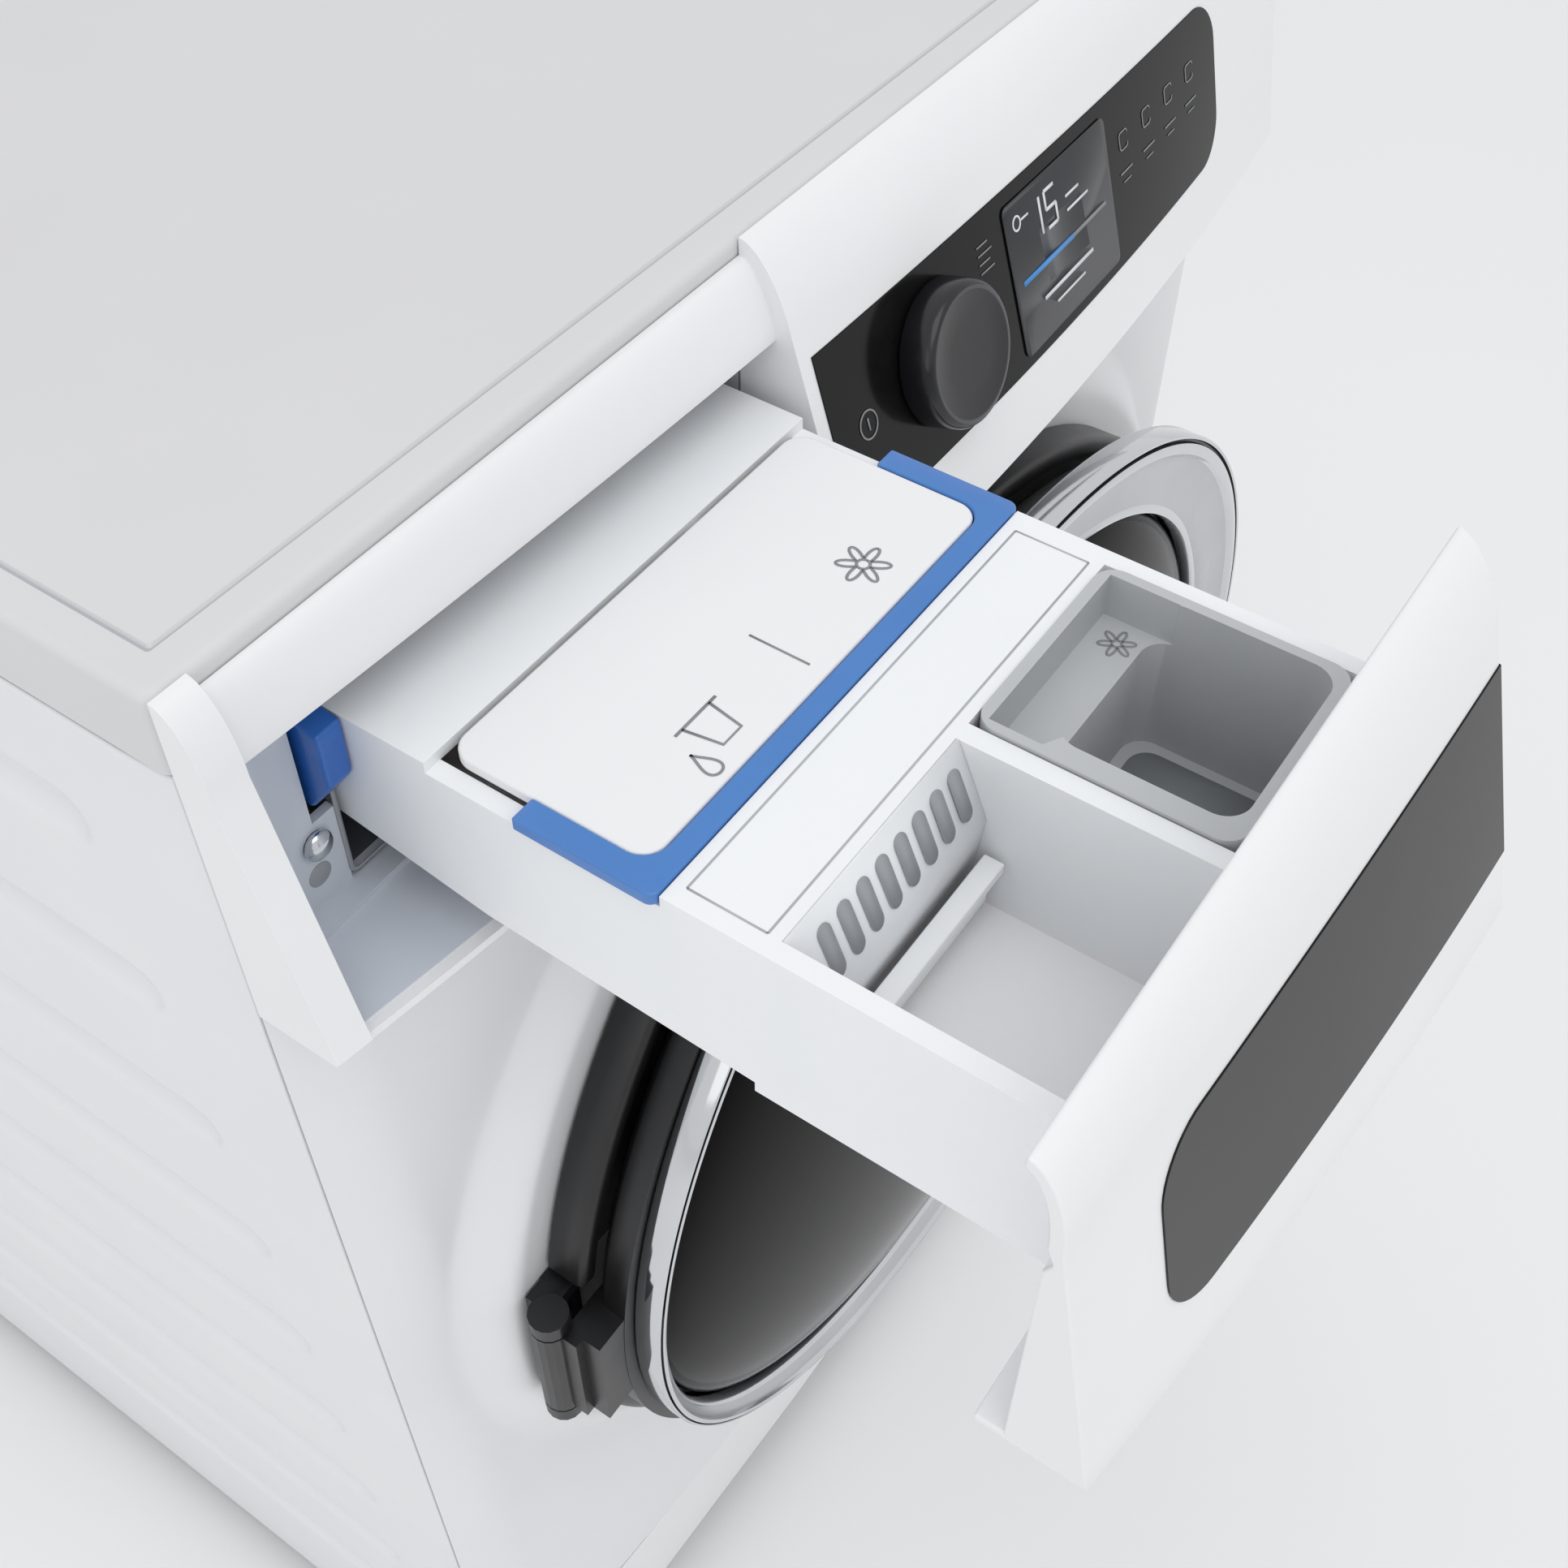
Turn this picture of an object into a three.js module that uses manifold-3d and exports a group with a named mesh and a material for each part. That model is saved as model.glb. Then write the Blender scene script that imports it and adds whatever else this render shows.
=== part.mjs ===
// Front load washing machine with its dispenser drawer pulled out, as an assembly of separate pieces.
// Millimetres, +Z up, front towards -Y, floor at z = 0, the machine's centre plane at x = 0.
import * as THREE from 'three';
import { mergeVertices } from 'three/addons/utils/BufferGeometryUtils.js';
import Module from 'manifold-3d';

const wasm = await Module();
wasm.setup();
const machine = new THREE.Group();

// ---- driving dimensions -------------------------------------------------------------------------
const half = 298; // half the cabinet's width
const height = 850; // floor to worktop
const back = 560; // rear face of the back panel
const sheet = 1.5; // sheet steel with its enamel
const gap = 0.5; // between pieces that touch on the real machine
const bow = 16; // how far the front panel bulges at its middle
const plinth = 100; // top of the kick plate
const worktopUnder = 822;
const fasciaUnder = 724; // bottom edge of the control fascia
const fasciaRoll = 822; // where the leaning face turns into the roll
const lean = { top: -12, bottom: -30, topBulge: 8, bottomBulge: 22 }; // of the fascia's face
const doorZ = 466; // door centre above the floor
const drumZ = 460; // drum axis above the floor
const drumRadius = 247;
const tubRadius = 262;
const tubFront = 62;
const tubBack = 440;
const travel = 222; // how far the drawer is pulled out

const drawer = { left: -246, right: -72, under: 738, top: 800, front: -8, back: 286 };
const opening = { left: -286, right: -66 }; // drawer opening in the fascia
const glass = { left: -60, right: 228, under: 750, top: 813, thick: 3, round: 18, drawerLeft: -250 };
const knob = { x: 2, z: 783, radius: 25, depth: 14 };
const rim = { x: 15, radius: 246, front: -76, rear: -62.4 }; // handle rim, set off to the handle side
const lens = { x: -3, radius: 219 };
const hinge = { x: -251, y: -40, radius: 4 };
const flap = { left: 150, right: 262, under: 30, top: 92 };

// ---- small tools --------------------------------------------------------------------------------
const smoothStep = (amount) => amount * amount * (3 - 2 * amount); // of 0..1

function solidOf(geometry) {
  const bare = geometry.clone();
  bare.deleteAttribute('normal');
  bare.deleteAttribute('uv');
  const merged = mergeVertices(bare, 1e-4);
  const index = merged.index.array;
  const kept = [];
  for (let i = 0; i < index.length; i += 3) {
    const [a, b, c] = [index[i], index[i + 1], index[i + 2]];
    if (a !== b && b !== c && c !== a) kept.push(a, b, c);
  }
  const build = (triangles) => new wasm.Manifold(new wasm.Mesh({
    numProp: 3,
    vertProperties: Float32Array.from(merged.attributes.position.array),
    triVerts: Uint32Array.from(triangles),
  }));
  const solid = build(kept);
  if (solid.volume() > 0) return solid;
  const flipped = [];
  for (let i = 0; i < kept.length; i += 3) flipped.push(kept[i], kept[i + 2], kept[i + 1]);
  return build(flipped);
}

function geometryOf(solid) {
  const mesh = solid.getMesh();
  const geometry = new THREE.BufferGeometry();
  const points = [];
  for (let i = 0; i < mesh.numVert; i += 1) {
    for (let k = 0; k < 3; k += 1) points.push(mesh.vertProperties[i * mesh.numProp + k]);
  }
  geometry.setAttribute('position', new THREE.Float32BufferAttribute(points, 3));
  geometry.setIndex(Array.from(mesh.triVerts));
  geometry.computeVertexNormals();
  return geometry;
}

const cut = (body, ...tools) => tools.reduce((left, tool) => left.subtract(solidOf(tool)), solidOf(body));
const join = (first, ...rest) => rest.reduce((sum, next) => sum.add(solidOf(next)), solidOf(first));

function add(name, shape, color, roughness, metalness = 0) {
  const geometry = geometryOf(shape.isBufferGeometry ? solidOf(shape) : shape);
  const mesh = new THREE.Mesh(geometry, new THREE.MeshStandardMaterial({ color, roughness, metalness }));
  mesh.name = name;
  machine.add(mesh);
  return mesh;
}

function box(x0, x1, y0, y1, z0, z1) {
  const shape = new THREE.BoxGeometry(x1 - x0, y1 - y0, z1 - z0);
  return shape.translate((x0 + x1) / 2, (y0 + y1) / 2, (z0 + z1) / 2);
}

const outline = (points) => new THREE.Shape(points.map(([a, b]) => new THREE.Vector2(a, b)));

function extrude(shape, depth, steps, matrix, curveSegments = 6) {
  const solid = new THREE.ExtrudeGeometry(shape, { depth, steps, bevelEnabled: false, curveSegments });
  return solid.applyMatrix4(matrix);
}

// A (y, z) outline carried along x, a (x, z) outline along y, and a (x, y) outline along z.
function alongX(shape, x0, x1, steps = 1) {
  const turn = new THREE.Matrix4().makeBasis(
    new THREE.Vector3(0, 1, 0), new THREE.Vector3(0, 0, 1), new THREE.Vector3(1, 0, 0));
  return extrude(shape, x1 - x0, steps, turn).translate(x0, 0, 0);
}
function alongY(shape, y0, y1, curveSegments = 6) {
  const turn = new THREE.Matrix4().makeRotationX(Math.PI / 2);
  return extrude(shape, y1 - y0, 1, turn, curveSegments).translate(0, y1, 0);
}
function alongZ(shape, z0, z1) {
  return extrude(shape, z1 - z0, 1, new THREE.Matrix4()).translate(0, 0, z0);
}

function roundedRect(x0, y0, x1, y1, radius) {
  const shape = new THREE.Shape();
  shape.moveTo(x0 + radius, y0);
  shape.lineTo(x1 - radius, y0);
  shape.absarc(x1 - radius, y0 + radius, radius, -Math.PI / 2, 0);
  shape.absarc(x1 - radius, y1 - radius, radius, 0, Math.PI / 2);
  shape.absarc(x0 + radius, y1 - radius, radius, Math.PI / 2, Math.PI);
  shape.absarc(x0 + radius, y0 + radius, radius, Math.PI, 1.5 * Math.PI);
  return shape;
}

// A (radius, height) profile turned about an axis: it starts and ends on the axis, or closes on itself.
function turned(profile, segments) {
  const points = profile.map(([radius, along]) => new THREE.Vector2(radius, along));
  if (profile[0][0] > 0) points.push(points[0].clone());
  return new THREE.LatheGeometry(points, segments);
}
const ringY = (profile, x, z, segments = 40) => turned(profile, segments).translate(x, 0, z);
function ringZ(profile, x, y, segments = 16) {
  return turned(profile, segments).rotateX(Math.PI / 2).translate(x, y, 0);
}
function rodY(radius, y0, y1, x, z, segments = 24) {
  return ringY([[0, y0], [radius, y0], [radius, y1], [0, y1]], x, z, segments);
}
function rodZ(radius, z0, z1, x, y, segments = 16) {
  return ringZ([[0, z0], [radius, z0], [radius, z1], [0, z1]], x, y, segments);
}
function rodBetween(from, to, radius, segments = 10) {
  const path = new THREE.LineCurve3(new THREE.Vector3(...from), new THREE.Vector3(...to));
  const section = new THREE.Shape().absarc(0, 0, radius, 0, 2 * Math.PI);
  return new THREE.ExtrudeGeometry(section, { extrudePath: path, steps: 1, curveSegments: segments });
}
function hose(points, radius, bore, steps) {
  const path = new THREE.CatmullRomCurve3(points.map((point) => new THREE.Vector3(...point)));
  const section = new THREE.Shape().absarc(0, 0, radius, 0, 2 * Math.PI);
  section.holes.push(new THREE.Path().absarc(0, 0, bore, 0, 2 * Math.PI, true));
  return new THREE.ExtrudeGeometry(section, { extrudePath: path, steps, curveSegments: 4 });
}
// The fascia's face leans back towards its top, and bulges most at its bottom middle.
const leanAt = (z) => (fasciaRoll - z) / (fasciaRoll - fasciaUnder); // 0 at the roll, 1 at the bottom
const faceEnd = (z) => lean.top + (lean.bottom - lean.top) * leanAt(z);
const bulgeAt = (z) => (z > fasciaRoll
  ? lean.topBulge * Math.max((height - z) / (height - fasciaRoll), 0)
  : lean.topBulge + (lean.bottomBulge - lean.topBulge) * leanAt(z));
function bowed(geometry, depthAt = bulgeAt) {
  const place = geometry.attributes.position;
  for (let i = 0; i < place.count; i += 1) {
    const across = place.getX(i) / half;
    const depth = depthAt(place.getZ(i), place.getY(i));
    place.setY(i, place.getY(i) - depth * (1 - across * across));
  }
  return geometry;
}

// ---- the fascia's section, shared by the fascia and the drawer's front --------------------------
// Quarter-round roll from the worktop's front edge, then the leaning face; inset moves it inwards.
function fasciaSection(inset, under, rear, step = 0) {
  const shape = new THREE.Shape();
  const away = inset + step;
  const roll = { y: -lean.top - away, z: height - fasciaRoll - away };
  shape.moveTo(rear, under);
  shape.lineTo(faceEnd(under) + away, under);
  shape.lineTo(-roll.y, fasciaRoll);
  const turns = 6;
  for (let i = 1; i <= turns; i += 1) {
    const angle = (i / turns) * Math.PI / 2;
    shape.lineTo(-roll.y * Math.cos(angle), fasciaRoll + roll.z * Math.sin(angle));
  }
  shape.lineTo(rear, fasciaRoll + roll.z);
  return shape;
}

// ---- cabinet ------------------------------------------------------------------------------------
function worktop() {
  const outside = outline([[gap, worktopUnder], [gap, height - 2], [gap + 2, height],
    [back - 2, height], [back, height - 2], [back, worktopUnder]]);
  const groove = box(-half + 12, half - 12, 14, back - 12, height - 0.6, height + 1);
  const field = box(-half + 13, half - 13, 15, back - 13, height - 0.7, height - 0.1);
  return cut(alongX(outside, -half, half), groove).add(solidOf(field));
}

// A side panel with pressed ribs: a thin slab whose two faces follow the same press depth.
const ribs = { count: 9, first: 771, pitch: 81, tall: 13, press: 3, start: 46, end: 500, fade: 22 };
function ribDepth(y, z) {
  const along = Math.min(Math.max((y - ribs.start) / ribs.fade, 0), 1)
    * Math.min(Math.max((ribs.end - y) / ribs.fade, 0), 1);
  const index = Math.round((ribs.first - z) / ribs.pitch);
  if (index < 0 || index >= ribs.count) return 0;
  const off = Math.abs(z - (ribs.first - index * ribs.pitch));
  return off < ribs.tall ? ribs.press * smoothStep(along) * smoothStep(1 - off / ribs.tall) : 0;
}
function sidePanel(side) {
  const rows = [16];
  for (let i = ribs.count - 1; i >= 0; i -= 1) {
    const middle = ribs.first - i * ribs.pitch;
    rows.push(middle - ribs.tall, middle, middle + ribs.tall);
  }
  rows.push(worktopUnder - gap);
  const { start, end, fade } = ribs;
  const columns = [gap + sheet, start, start + fade, end - fade, end, back - 2.5];
  const slab = new THREE.BoxGeometry(sheet, 1, 1, 1, columns.length - 1, rows.length - 1);
  const place = slab.attributes.position;
  for (let i = 0; i < place.count; i += 1) {
    const column = Math.round((place.getY(i) + 0.5) * (columns.length - 1));
    const row = Math.round((place.getZ(i) + 0.5) * (rows.length - 1));
    const y = columns[column];
    const z = rows[row];
    const x = half - sheet / 2 + place.getX(i) - ribDepth(y, z);
    place.setXYZ(i, side * x, y, z);
  }
  return solidOf(slab);
}

// Front panel: rounded vertical corners, bowed between them, with a raised land round the door.
const corner = 28;
const land = { inner: 166, outer: 256, foot: 274, y: -28 };
const panelY = (x) => {
  const fromEdge = Math.min((half - Math.abs(x)) / corner, 1);
  return -8 * Math.sin(fromEdge * Math.PI / 2) - bow * (1 - (x / half) ** 2);
};
const hookSlot = () => box(178, 190, -60, 0, doorZ - 16, doorZ + 16);
function frontPanel() {
  const stations = [];
  for (let i = 0; i <= 28; i += 1) {
    const t = i / 28;
    const edge = corner * (1 - Math.cos(Math.min(t, 1 - t) * 5 * Math.PI / 2));
    const middle = -half + corner + (2 * half - 2 * corner) * (t - 0.2) / 0.6;
    stations.push(t < 0.2 ? -half + edge : t > 0.8 ? half - edge : middle);
  }
  const front = stations.map((x) => [x, panelY(x) - 0.4]);
  const rear = stations.map((x) => [x * (1 - sheet / half), panelY(x) - 0.4 + sheet]).reverse();
  const skin = alongZ(outline([...front, ...rear]), plinth + gap, fasciaUnder - gap);
  const open = rodY(land.foot - 8, -60, 30, 0, doorZ, 40);
  const raised = ringY([[land.inner, land.y], [land.outer, land.y], [land.foot, -6], [land.foot, -4],
    [land.outer - 1, land.y + sheet], [land.inner, land.y + sheet]], 0, doorZ, 40);
  const above = box(-half, half, -60, 30, fasciaUnder - gap, height);
  return cut(skin, open).add(solidOf(raised)).subtract(solidOf(above)).subtract(solidOf(hookSlot()));
}

function backPanel() {
  const plate = alongY(outline([[-half + 2, 16], [half - 2, 16], [half - 2, worktopUnder - gap],
    [-half + 2, worktopUnder - gap]]), back - sheet, back);
  const service = rodY(150, back - 3, back + 1, 0, drumZ, 32);
  const valve = box(196, 264, back - 3, back + 1, 736, 796);
  const tools = [service, valve, rodY(9, back - 3, back + 1, -240, 700)];
  const bolts = [[-200, 330], [200, 330], [-120, 640], [120, 640]];
  for (const [x, z] of bolts) tools.push(rodY(8, back - 3, back + 1, x, z, 12));
  return cut(plate, ...tools);
}
function serviceCover() {
  return ringY([[0, back + gap], [158, back + gap], [160, back + 2], [150, back + 6], [0, back + 6]],
    0, drumZ, 32);
}

function baseTray() {
  const tray = box(-half + 6, half - 6, 6, back - 6, 16, 40);
  const hollow = box(-half + 8, half - 8, 8, back - 8, 18, 50);
  const corners = [];
  for (const x of [-250, 250]) for (const y of [50, 500]) corners.push(rodZ(5.5, 10, 30, x, y));
  return cut(tray, hollow, ...corners);
}
function foot(x, y) {
  return ringZ([[0, 0], [21, 0], [22, 3], [20, 9], [10, 12], [5, 12.5], [5, 44], [0, 44]], x, y, 12);
}

function kickPlate() {
  const section = outline([[-12, 22], [-6, 20], [-3, 20], [-3, plinth - gap], [-12, plinth - gap]]);
  const plate = bowed(alongX(section, -half + 3, half - 3, 12), () => 10);
  const hole = box(flap.left - gap, flap.right + gap, -60, 10, flap.under - gap, flap.top + gap);
  return cut(plate, hole);
}
function filterFlap() {
  const section = outline([[-12, flap.under], [-9, flap.under], [-9, flap.top], [-12, flap.top]]);
  const plate = bowed(alongX(section, flap.left, flap.right, 6), () => 10);
  return cut(plate, box(196, 216, -40, 0, flap.top - 5, flap.top + 5)); // a notch for a fingertip
}

// ---- fascia and controls ------------------------------------------------------------------------
function bowedPlate(x0, x1, z0, z1, thick, proud) {
  const faceAt = (z) => faceEnd(z) - proud;
  return bowed(alongX(outline([[faceAt(z0), z0], [faceAt(z0) + thick, z0], [faceAt(z1) + thick, z1],
    [faceAt(z1), z1]]), x0, x1, 10));
}
// A bowed plate of the black band, its far corners rounded; grow makes the seat that it sits in.
function glassBand(x0, x1, far, grow, thick, proud) {
  const plate = solidOf(bowedPlate(x0, x1, glass.under - grow, glass.top + grow, thick, proud));
  const left = far < 0 ? far - grow : x0 - 40;
  const right = far > 0 ? far + grow : x1 + 40;
  const trim = roundedRect(left, glass.under - grow, right, glass.top + grow, glass.round + grow);
  return plate.intersect(solidOf(alongY(trim, -70, 0)));
}

function fascia() {
  const outer = bowed(alongX(fasciaSection(0, fasciaUnder, 0), -half, half, 16));
  const inner = bowed(alongX(fasciaSection(3.5, fasciaUnder - 1, 2), -half + 3.5, half - 3.5, 16));
  const hole = box(opening.left, opening.right, -70, 5, fasciaUnder + 3, height + 1);
  const bar = bowed(alongX(fasciaSection(0, 818, 0, 6), opening.left - 1, opening.right + 1, 6));
  const wallShape = fasciaSection(0.2, fasciaUnder, 0);
  const walls = [[opening.left - 3, opening.left], [opening.right, opening.right + 3]];
  let whole = solidOf(outer).subtract(solidOf(inner)).subtract(solidOf(hole));
  whole = whole.subtract(glassBand(glass.left - gap, glass.right + gap, glass.right, gap, 12, 4));
  whole = whole.add(solidOf(bar));
  for (const [x0, x1] of walls) whole = whole.add(solidOf(bowed(alongX(wallShape, x0, x1))));
  return whole;
}
// Stands a shape made along the y axis square on the leaning face at the knob.
const knobFace = faceEnd(knob.z) - bulgeAt(knob.z) - 0.4;
const faceTilt = Math.atan((lean.top - lean.bottom + lean.bottomBulge - lean.topBulge)
  / (fasciaRoll - fasciaUnder));
const onFace = (geometry) => geometry.rotateX(-faceTilt).translate(knob.x, knobFace, knob.z);
function controlGlass() {
  const plate = glassBand(glass.left, glass.right, glass.right, 0, glass.thick, 0.4);
  return plate.subtract(solidOf(onFace(rodY(5, -20, 20, 0, 0, 16))));
}
function controlModule() {
  const board = box(-52, 214, -13, 4, 757, 808);
  return cut(board, onFace(rodY(4.6, -20, 40, 0, 0, 16)), box(-50, 212, -10, 10, 759, 806))
    .add(solidOf(box(76, 156, -16, -12, 762, 804)));
}
function knobTurned() {
  const { radius, depth } = knob;
  return onFace(ringY([[0, 0.6 - depth], [radius - 3, 0.6 - depth], [radius - 1.5, -depth],
    [radius, 1.5 - depth], [radius, -1.6], [radius - 3, -0.6], [4, -0.6], [4, 21], [0, 21]], 0, 0, 28));
}

// ---- drawer housing and drawer (written closed, then drawn out by its travel) --------------------
function drawerHousing() {
  const shell = box(opening.left - 2, -62.5, 1, 300, 727.5, 819.5);
  const room = box(-268, -66, 12, 297, 730, 817);
  const mouth = alongZ(outline([[opening.left, -1], [-270, 9], [-66, 9], [-66, -1]]), 730, 817);
  const passage = box(-249.5, -66, 0, 20, 730, 817);
  const leverGate = box(-258, -66, 0, 20, 762, 817); // lets the release lever through
  const lipSection = outline([[-25, 724.8], [6, 724.8], [6, 729], [1, 729], [1, 727.4], [-25, 727.4]]);
  const lip = bowed(alongX(lipSection, -284, -68, 8), (z, y) => (y < -10 ? lean.bottomBulge : 0));
  return cut(shell, room, mouth, passage, leverGate, rodY(4.2, 4, 16, -259, 755, 12),
    rodY(11, 280, 310, -170, 745), box(-180, -160, 230, 250, 720, 735)).add(solidOf(lip));
}
const steelStud = () => ringY([[0, 4.4], [3, 4.9], [5.2, 7], [4, 8.9], [4, 14], [0, 14]], -259, 755, 12);

function drawerBody() {
  const { left, right, under, top, front } = drawer;
  const tray = box(left, right, front, drawer.back, under, top);
  const taper = outline([[90, under - 1], [90, under + 4], [180, under + 8],
    [drawer.back + 1, under + 26], [drawer.back + 1, under - 1]]);
  const rooms = [
    box(-240, -160, 8, 86, under + 3, top + 1), // powder room
    box(-153.5, -78, 8, 86, under + 3, top + 1), // seat of the softener insert
    box(-240, -132, 116, 176, under + 12, top - 3.9), // detergent tank, under the dosing lid
    box(-126, -78, 116, 176, under + 12, top - 3.9), // softener tank
    box(-240, -132, 170, 280, under + 30, top - 4),
    box(-126, -78, 170, 280, under + 30, top - 4),
    box(left - 1, right + 1, 118, 194, top - 4, top + 1), // seat of the dosing frame
  ];
  return cut(tray, alongX(taper, left - 1, right + 1), ...rooms);
}
function drawerFront() {
  const left = opening.left + gap;
  const right = opening.right - gap;
  const outer = solidOf(bowed(alongX(fasciaSection(0, fasciaUnder + 4, 0), left, right, 10)));
  const inner = bowed(alongX(fasciaSection(4, fasciaUnder + 7, 4), left + 3, right - 3, 10));
  const barRoom = bowed(alongX(fasciaSection(0, 816, 4, 4.5), left - 1, right + 1, 10));
  const backing = outer.intersect(solidOf(box(-250, -68, -70, drawer.front - gap, 740, drawer.top)));
  const seat = glassBand(glass.drawerLeft - gap, right + 1, glass.drawerLeft, gap, 4.9, 2);
  return outer.subtract(solidOf(inner)).subtract(solidOf(barRoom)).add(backing).subtract(seat);
}
const drawerGlass = () => glassBand(glass.drawerLeft, opening.right - gap, glass.drawerLeft, 0, 2.6, 0.4);
function doseFrame() {
  const { left, right, top } = drawer;
  const ring = box(left - 2, right + 2, 118.4, 150, top - 3.6, top + 0.8);
  const inside = alongZ(roundedRect(left + 6, 125.4, right - 6, 204, 8), top - 5, top + 2);
  return cut(ring, inside, box(left - 3, left - 0.3, 110, 154, top - 5, top - 3.7));
}
function doseLid() {
  const { left, right, top } = drawer;
  const plate = alongZ(roundedRect(left + 6.6, 126, right - 6.6, 192, 7.4), top - 3.4, top + 0.6);
  return solidOf(plate);
}
function softenerInsert() {
  const { top } = drawer;
  const bodyShape = alongZ(roundedRect(-153, 8.6, -78.6, 85.6, 7), 742, top + 1.2);
  const bowl = alongZ(roundedRect(-146, 12, -82, 66, 8), 745, top + 2);
  const shelfShape = outline([[-150, 66], [-150, 82], [-82, 82], [-82, 60], [-140, 60]]);
  const shelf = alongZ(shelfShape, top - 14, top + 2);
  return cut(bodyShape, bowl, shelf);
}
function powderFlap() {
  return solidOf(box(-238, -162, 70, 72.5, 745, 762)).add(solidOf(box(-238, -162, 66, 72.5, 760, 764)));
}
function releaseLever() {
  const tongue = outline([[222, 800], [250, 806], [252, 794], [246, 770], [232, 766], [222, 780]]);
  return solidOf(alongX(tongue, -256, drawer.left - gap));
}

// ---- door ---------------------------------------------------------------------------------------
function doorSurround() {
  const ring = ringY([[168, -29], [241, -29], [242, -30], [242, -44], [239, -46], [234, -46],
    [228, -37], [168, -36]], 0, doorZ, 40);
  return cut(ring, box(-262, -224, -60, -28, doorZ - 44, doorZ + 44), hookSlot());
}
function hingeBracket() {
  const plate = box(-242, -226, -32, -28.5, doorZ - 40, doorZ + 40);
  const ends = [36, -36].map((z) => rodZ(8, doorZ + z - 4, doorZ + z + 4, hinge.x, hinge.y));
  const arms = [36, -36].map((z) => box(hinge.x, -229, -40, -29, doorZ + z - 3.8, doorZ + z + 3.8));
  const pin = rodZ(hinge.radius, doorZ - 38, doorZ + 38, hinge.x, hinge.y);
  return join(plate, ...ends, ...arms, pin);
}
function doorCarrier() {
  const ring = ringY([[150, -48], [232, -48], [236, -52], [236, -62], [150, -62]], 0, doorZ, 40);
  const knuckle = rodZ(8, doorZ - 31, doorZ + 31, hinge.x, hinge.y);
  const leaf = box(hinge.x + 2, -222, -62, -46, doorZ - 31, doorZ + 31);
  const neck = box(hinge.x - 2, hinge.x + 6, -54, -40, doorZ - 31, doorZ + 31);
  const bore = rodZ(hinge.radius + gap, doorZ - 40, doorZ + 40, hinge.x, hinge.y);
  const hookRoom = box(181, 187, -70, -40, doorZ - 10, doorZ + 10);
  return join(ring, knuckle, leaf, neck).subtract(solidOf(bore)).subtract(solidOf(hookRoom));
}
function doorRim() {
  const shape = new THREE.Shape().absarc(rim.x, doorZ, rim.radius, 0, 2 * Math.PI);
  shape.holes.push(new THREE.Path().absarc(lens.x, doorZ, lens.radius + gap, 0, 2 * Math.PI, true));
  return alongY(shape, rim.front, rim.rear, 20);
}
function doorGlass() {
  const turns = 4;
  const dome = (radius, deep) => {
    const points = [];
    for (let i = 0; i <= turns; i += 1) {
      const angle = (i / turns) * Math.PI / 2;
      points.push([radius * Math.cos(angle), -64 - deep * Math.sin(angle)]);
    }
    return points;
  };
  const outer = dome(lens.radius, 28);
  const inner = dome(lens.radius - 5, 24).reverse();
  return ringY([...outer, ...inner], lens.x, doorZ, 40);
}
function doorBowl() {
  return ringY([[0, 64], [58, 62], [128, 36], [135, -20], [144, -60], [149, -60], [140, -20], [132, 40],
    [60, 66], [0, 68]], 0, doorZ, 32);
}
const doorHook = () => solidOf(alongX(outline([[-58, doorZ - 8], [-58, doorZ + 8], [-30, doorZ + 8],
  [-20, doorZ + 2], [-20, doorZ - 2], [-34, doorZ - 2], [-38, doorZ - 8]]), 182, 186));
function doorLock() {
  return cut(box(170, 198, -26, 6, doorZ - 22, doorZ + 22), box(179, 189, -30, -8, doorZ - 13, doorZ + 13));
}
function doorGasket() {
  return ringY([[163, -25], [160, 8], [174, 24], [160, 40], [166, 61], [170, 61], [165, 42], [180, 24],
    [165, 10], [167, -25]], 0, doorZ, 32);
}

// ---- tub group ----------------------------------------------------------------------------------
const sump = { x: 120, y: 225 };
function tubFrontHalf() {
  const inner = tubRadius - 4;
  const shell = ringY([[171, tubFront], [171, tubFront + 5], [inner, tubFront + 5], [inner, 250],
    [tubRadius, 250], [tubRadius, tubFront]], 0, drumZ, 36);
  return cut(shell, rodZ(14, 190, 260, sump.x, sump.y));
}
function tubRearHalf() {
  const inner = tubRadius - 4;
  const shell = ringY([[inner, 250.5], [inner, tubBack - 5], [26, tubBack - 5], [26, tubBack + 20],
    [36, tubBack + 20], [36, tubBack], [tubRadius, tubBack], [tubRadius, 250.5]], 0, drumZ, 36);
  return cut(shell, box(-47, 47, 428, 450, 203.6, 221.4), rodZ(12, 600, 760, -170, 290));
}
function drumShell() {
  return cut(ringY([[178, 76], [172, 80], [178, 84], [drumRadius - 1.5, 84], [drumRadius - 1.5, 414],
    [40, 414], [40, 416], [drumRadius, 416], [drumRadius, 76]], 0, drumZ, 36));
}
function lifter(index) {
  const shape = outline([[-26, 0], [-20, 22], [-10, 44], [10, 44], [20, 22], [26, 0]]);
  const bar = alongY(shape, 96, 400);
  const turn = new THREE.Matrix4().makeRotationY((index * 2 * Math.PI) / 3);
  return solidOf(bar.translate(0, 0, -drumRadius + 5).applyMatrix4(turn).translate(0, 0, drumZ));
}
function drumSpider() {
  const arms = [0, 1, 2].map((i) => {
    const turn = new THREE.Matrix4().makeRotationY((i * 2 * Math.PI) / 3);
    return box(-16, 16, 417, 430, 20, 236).applyMatrix4(turn).translate(0, 0, drumZ);
  });
  return join(rodY(44, 417, 431, 0, drumZ), ...arms, rodY(14, 430, 476, 0, drumZ));
}
const pulleys = { y: 466, drum: 140, motor: 11, motorX: 90, motorZ: 108 };
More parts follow.
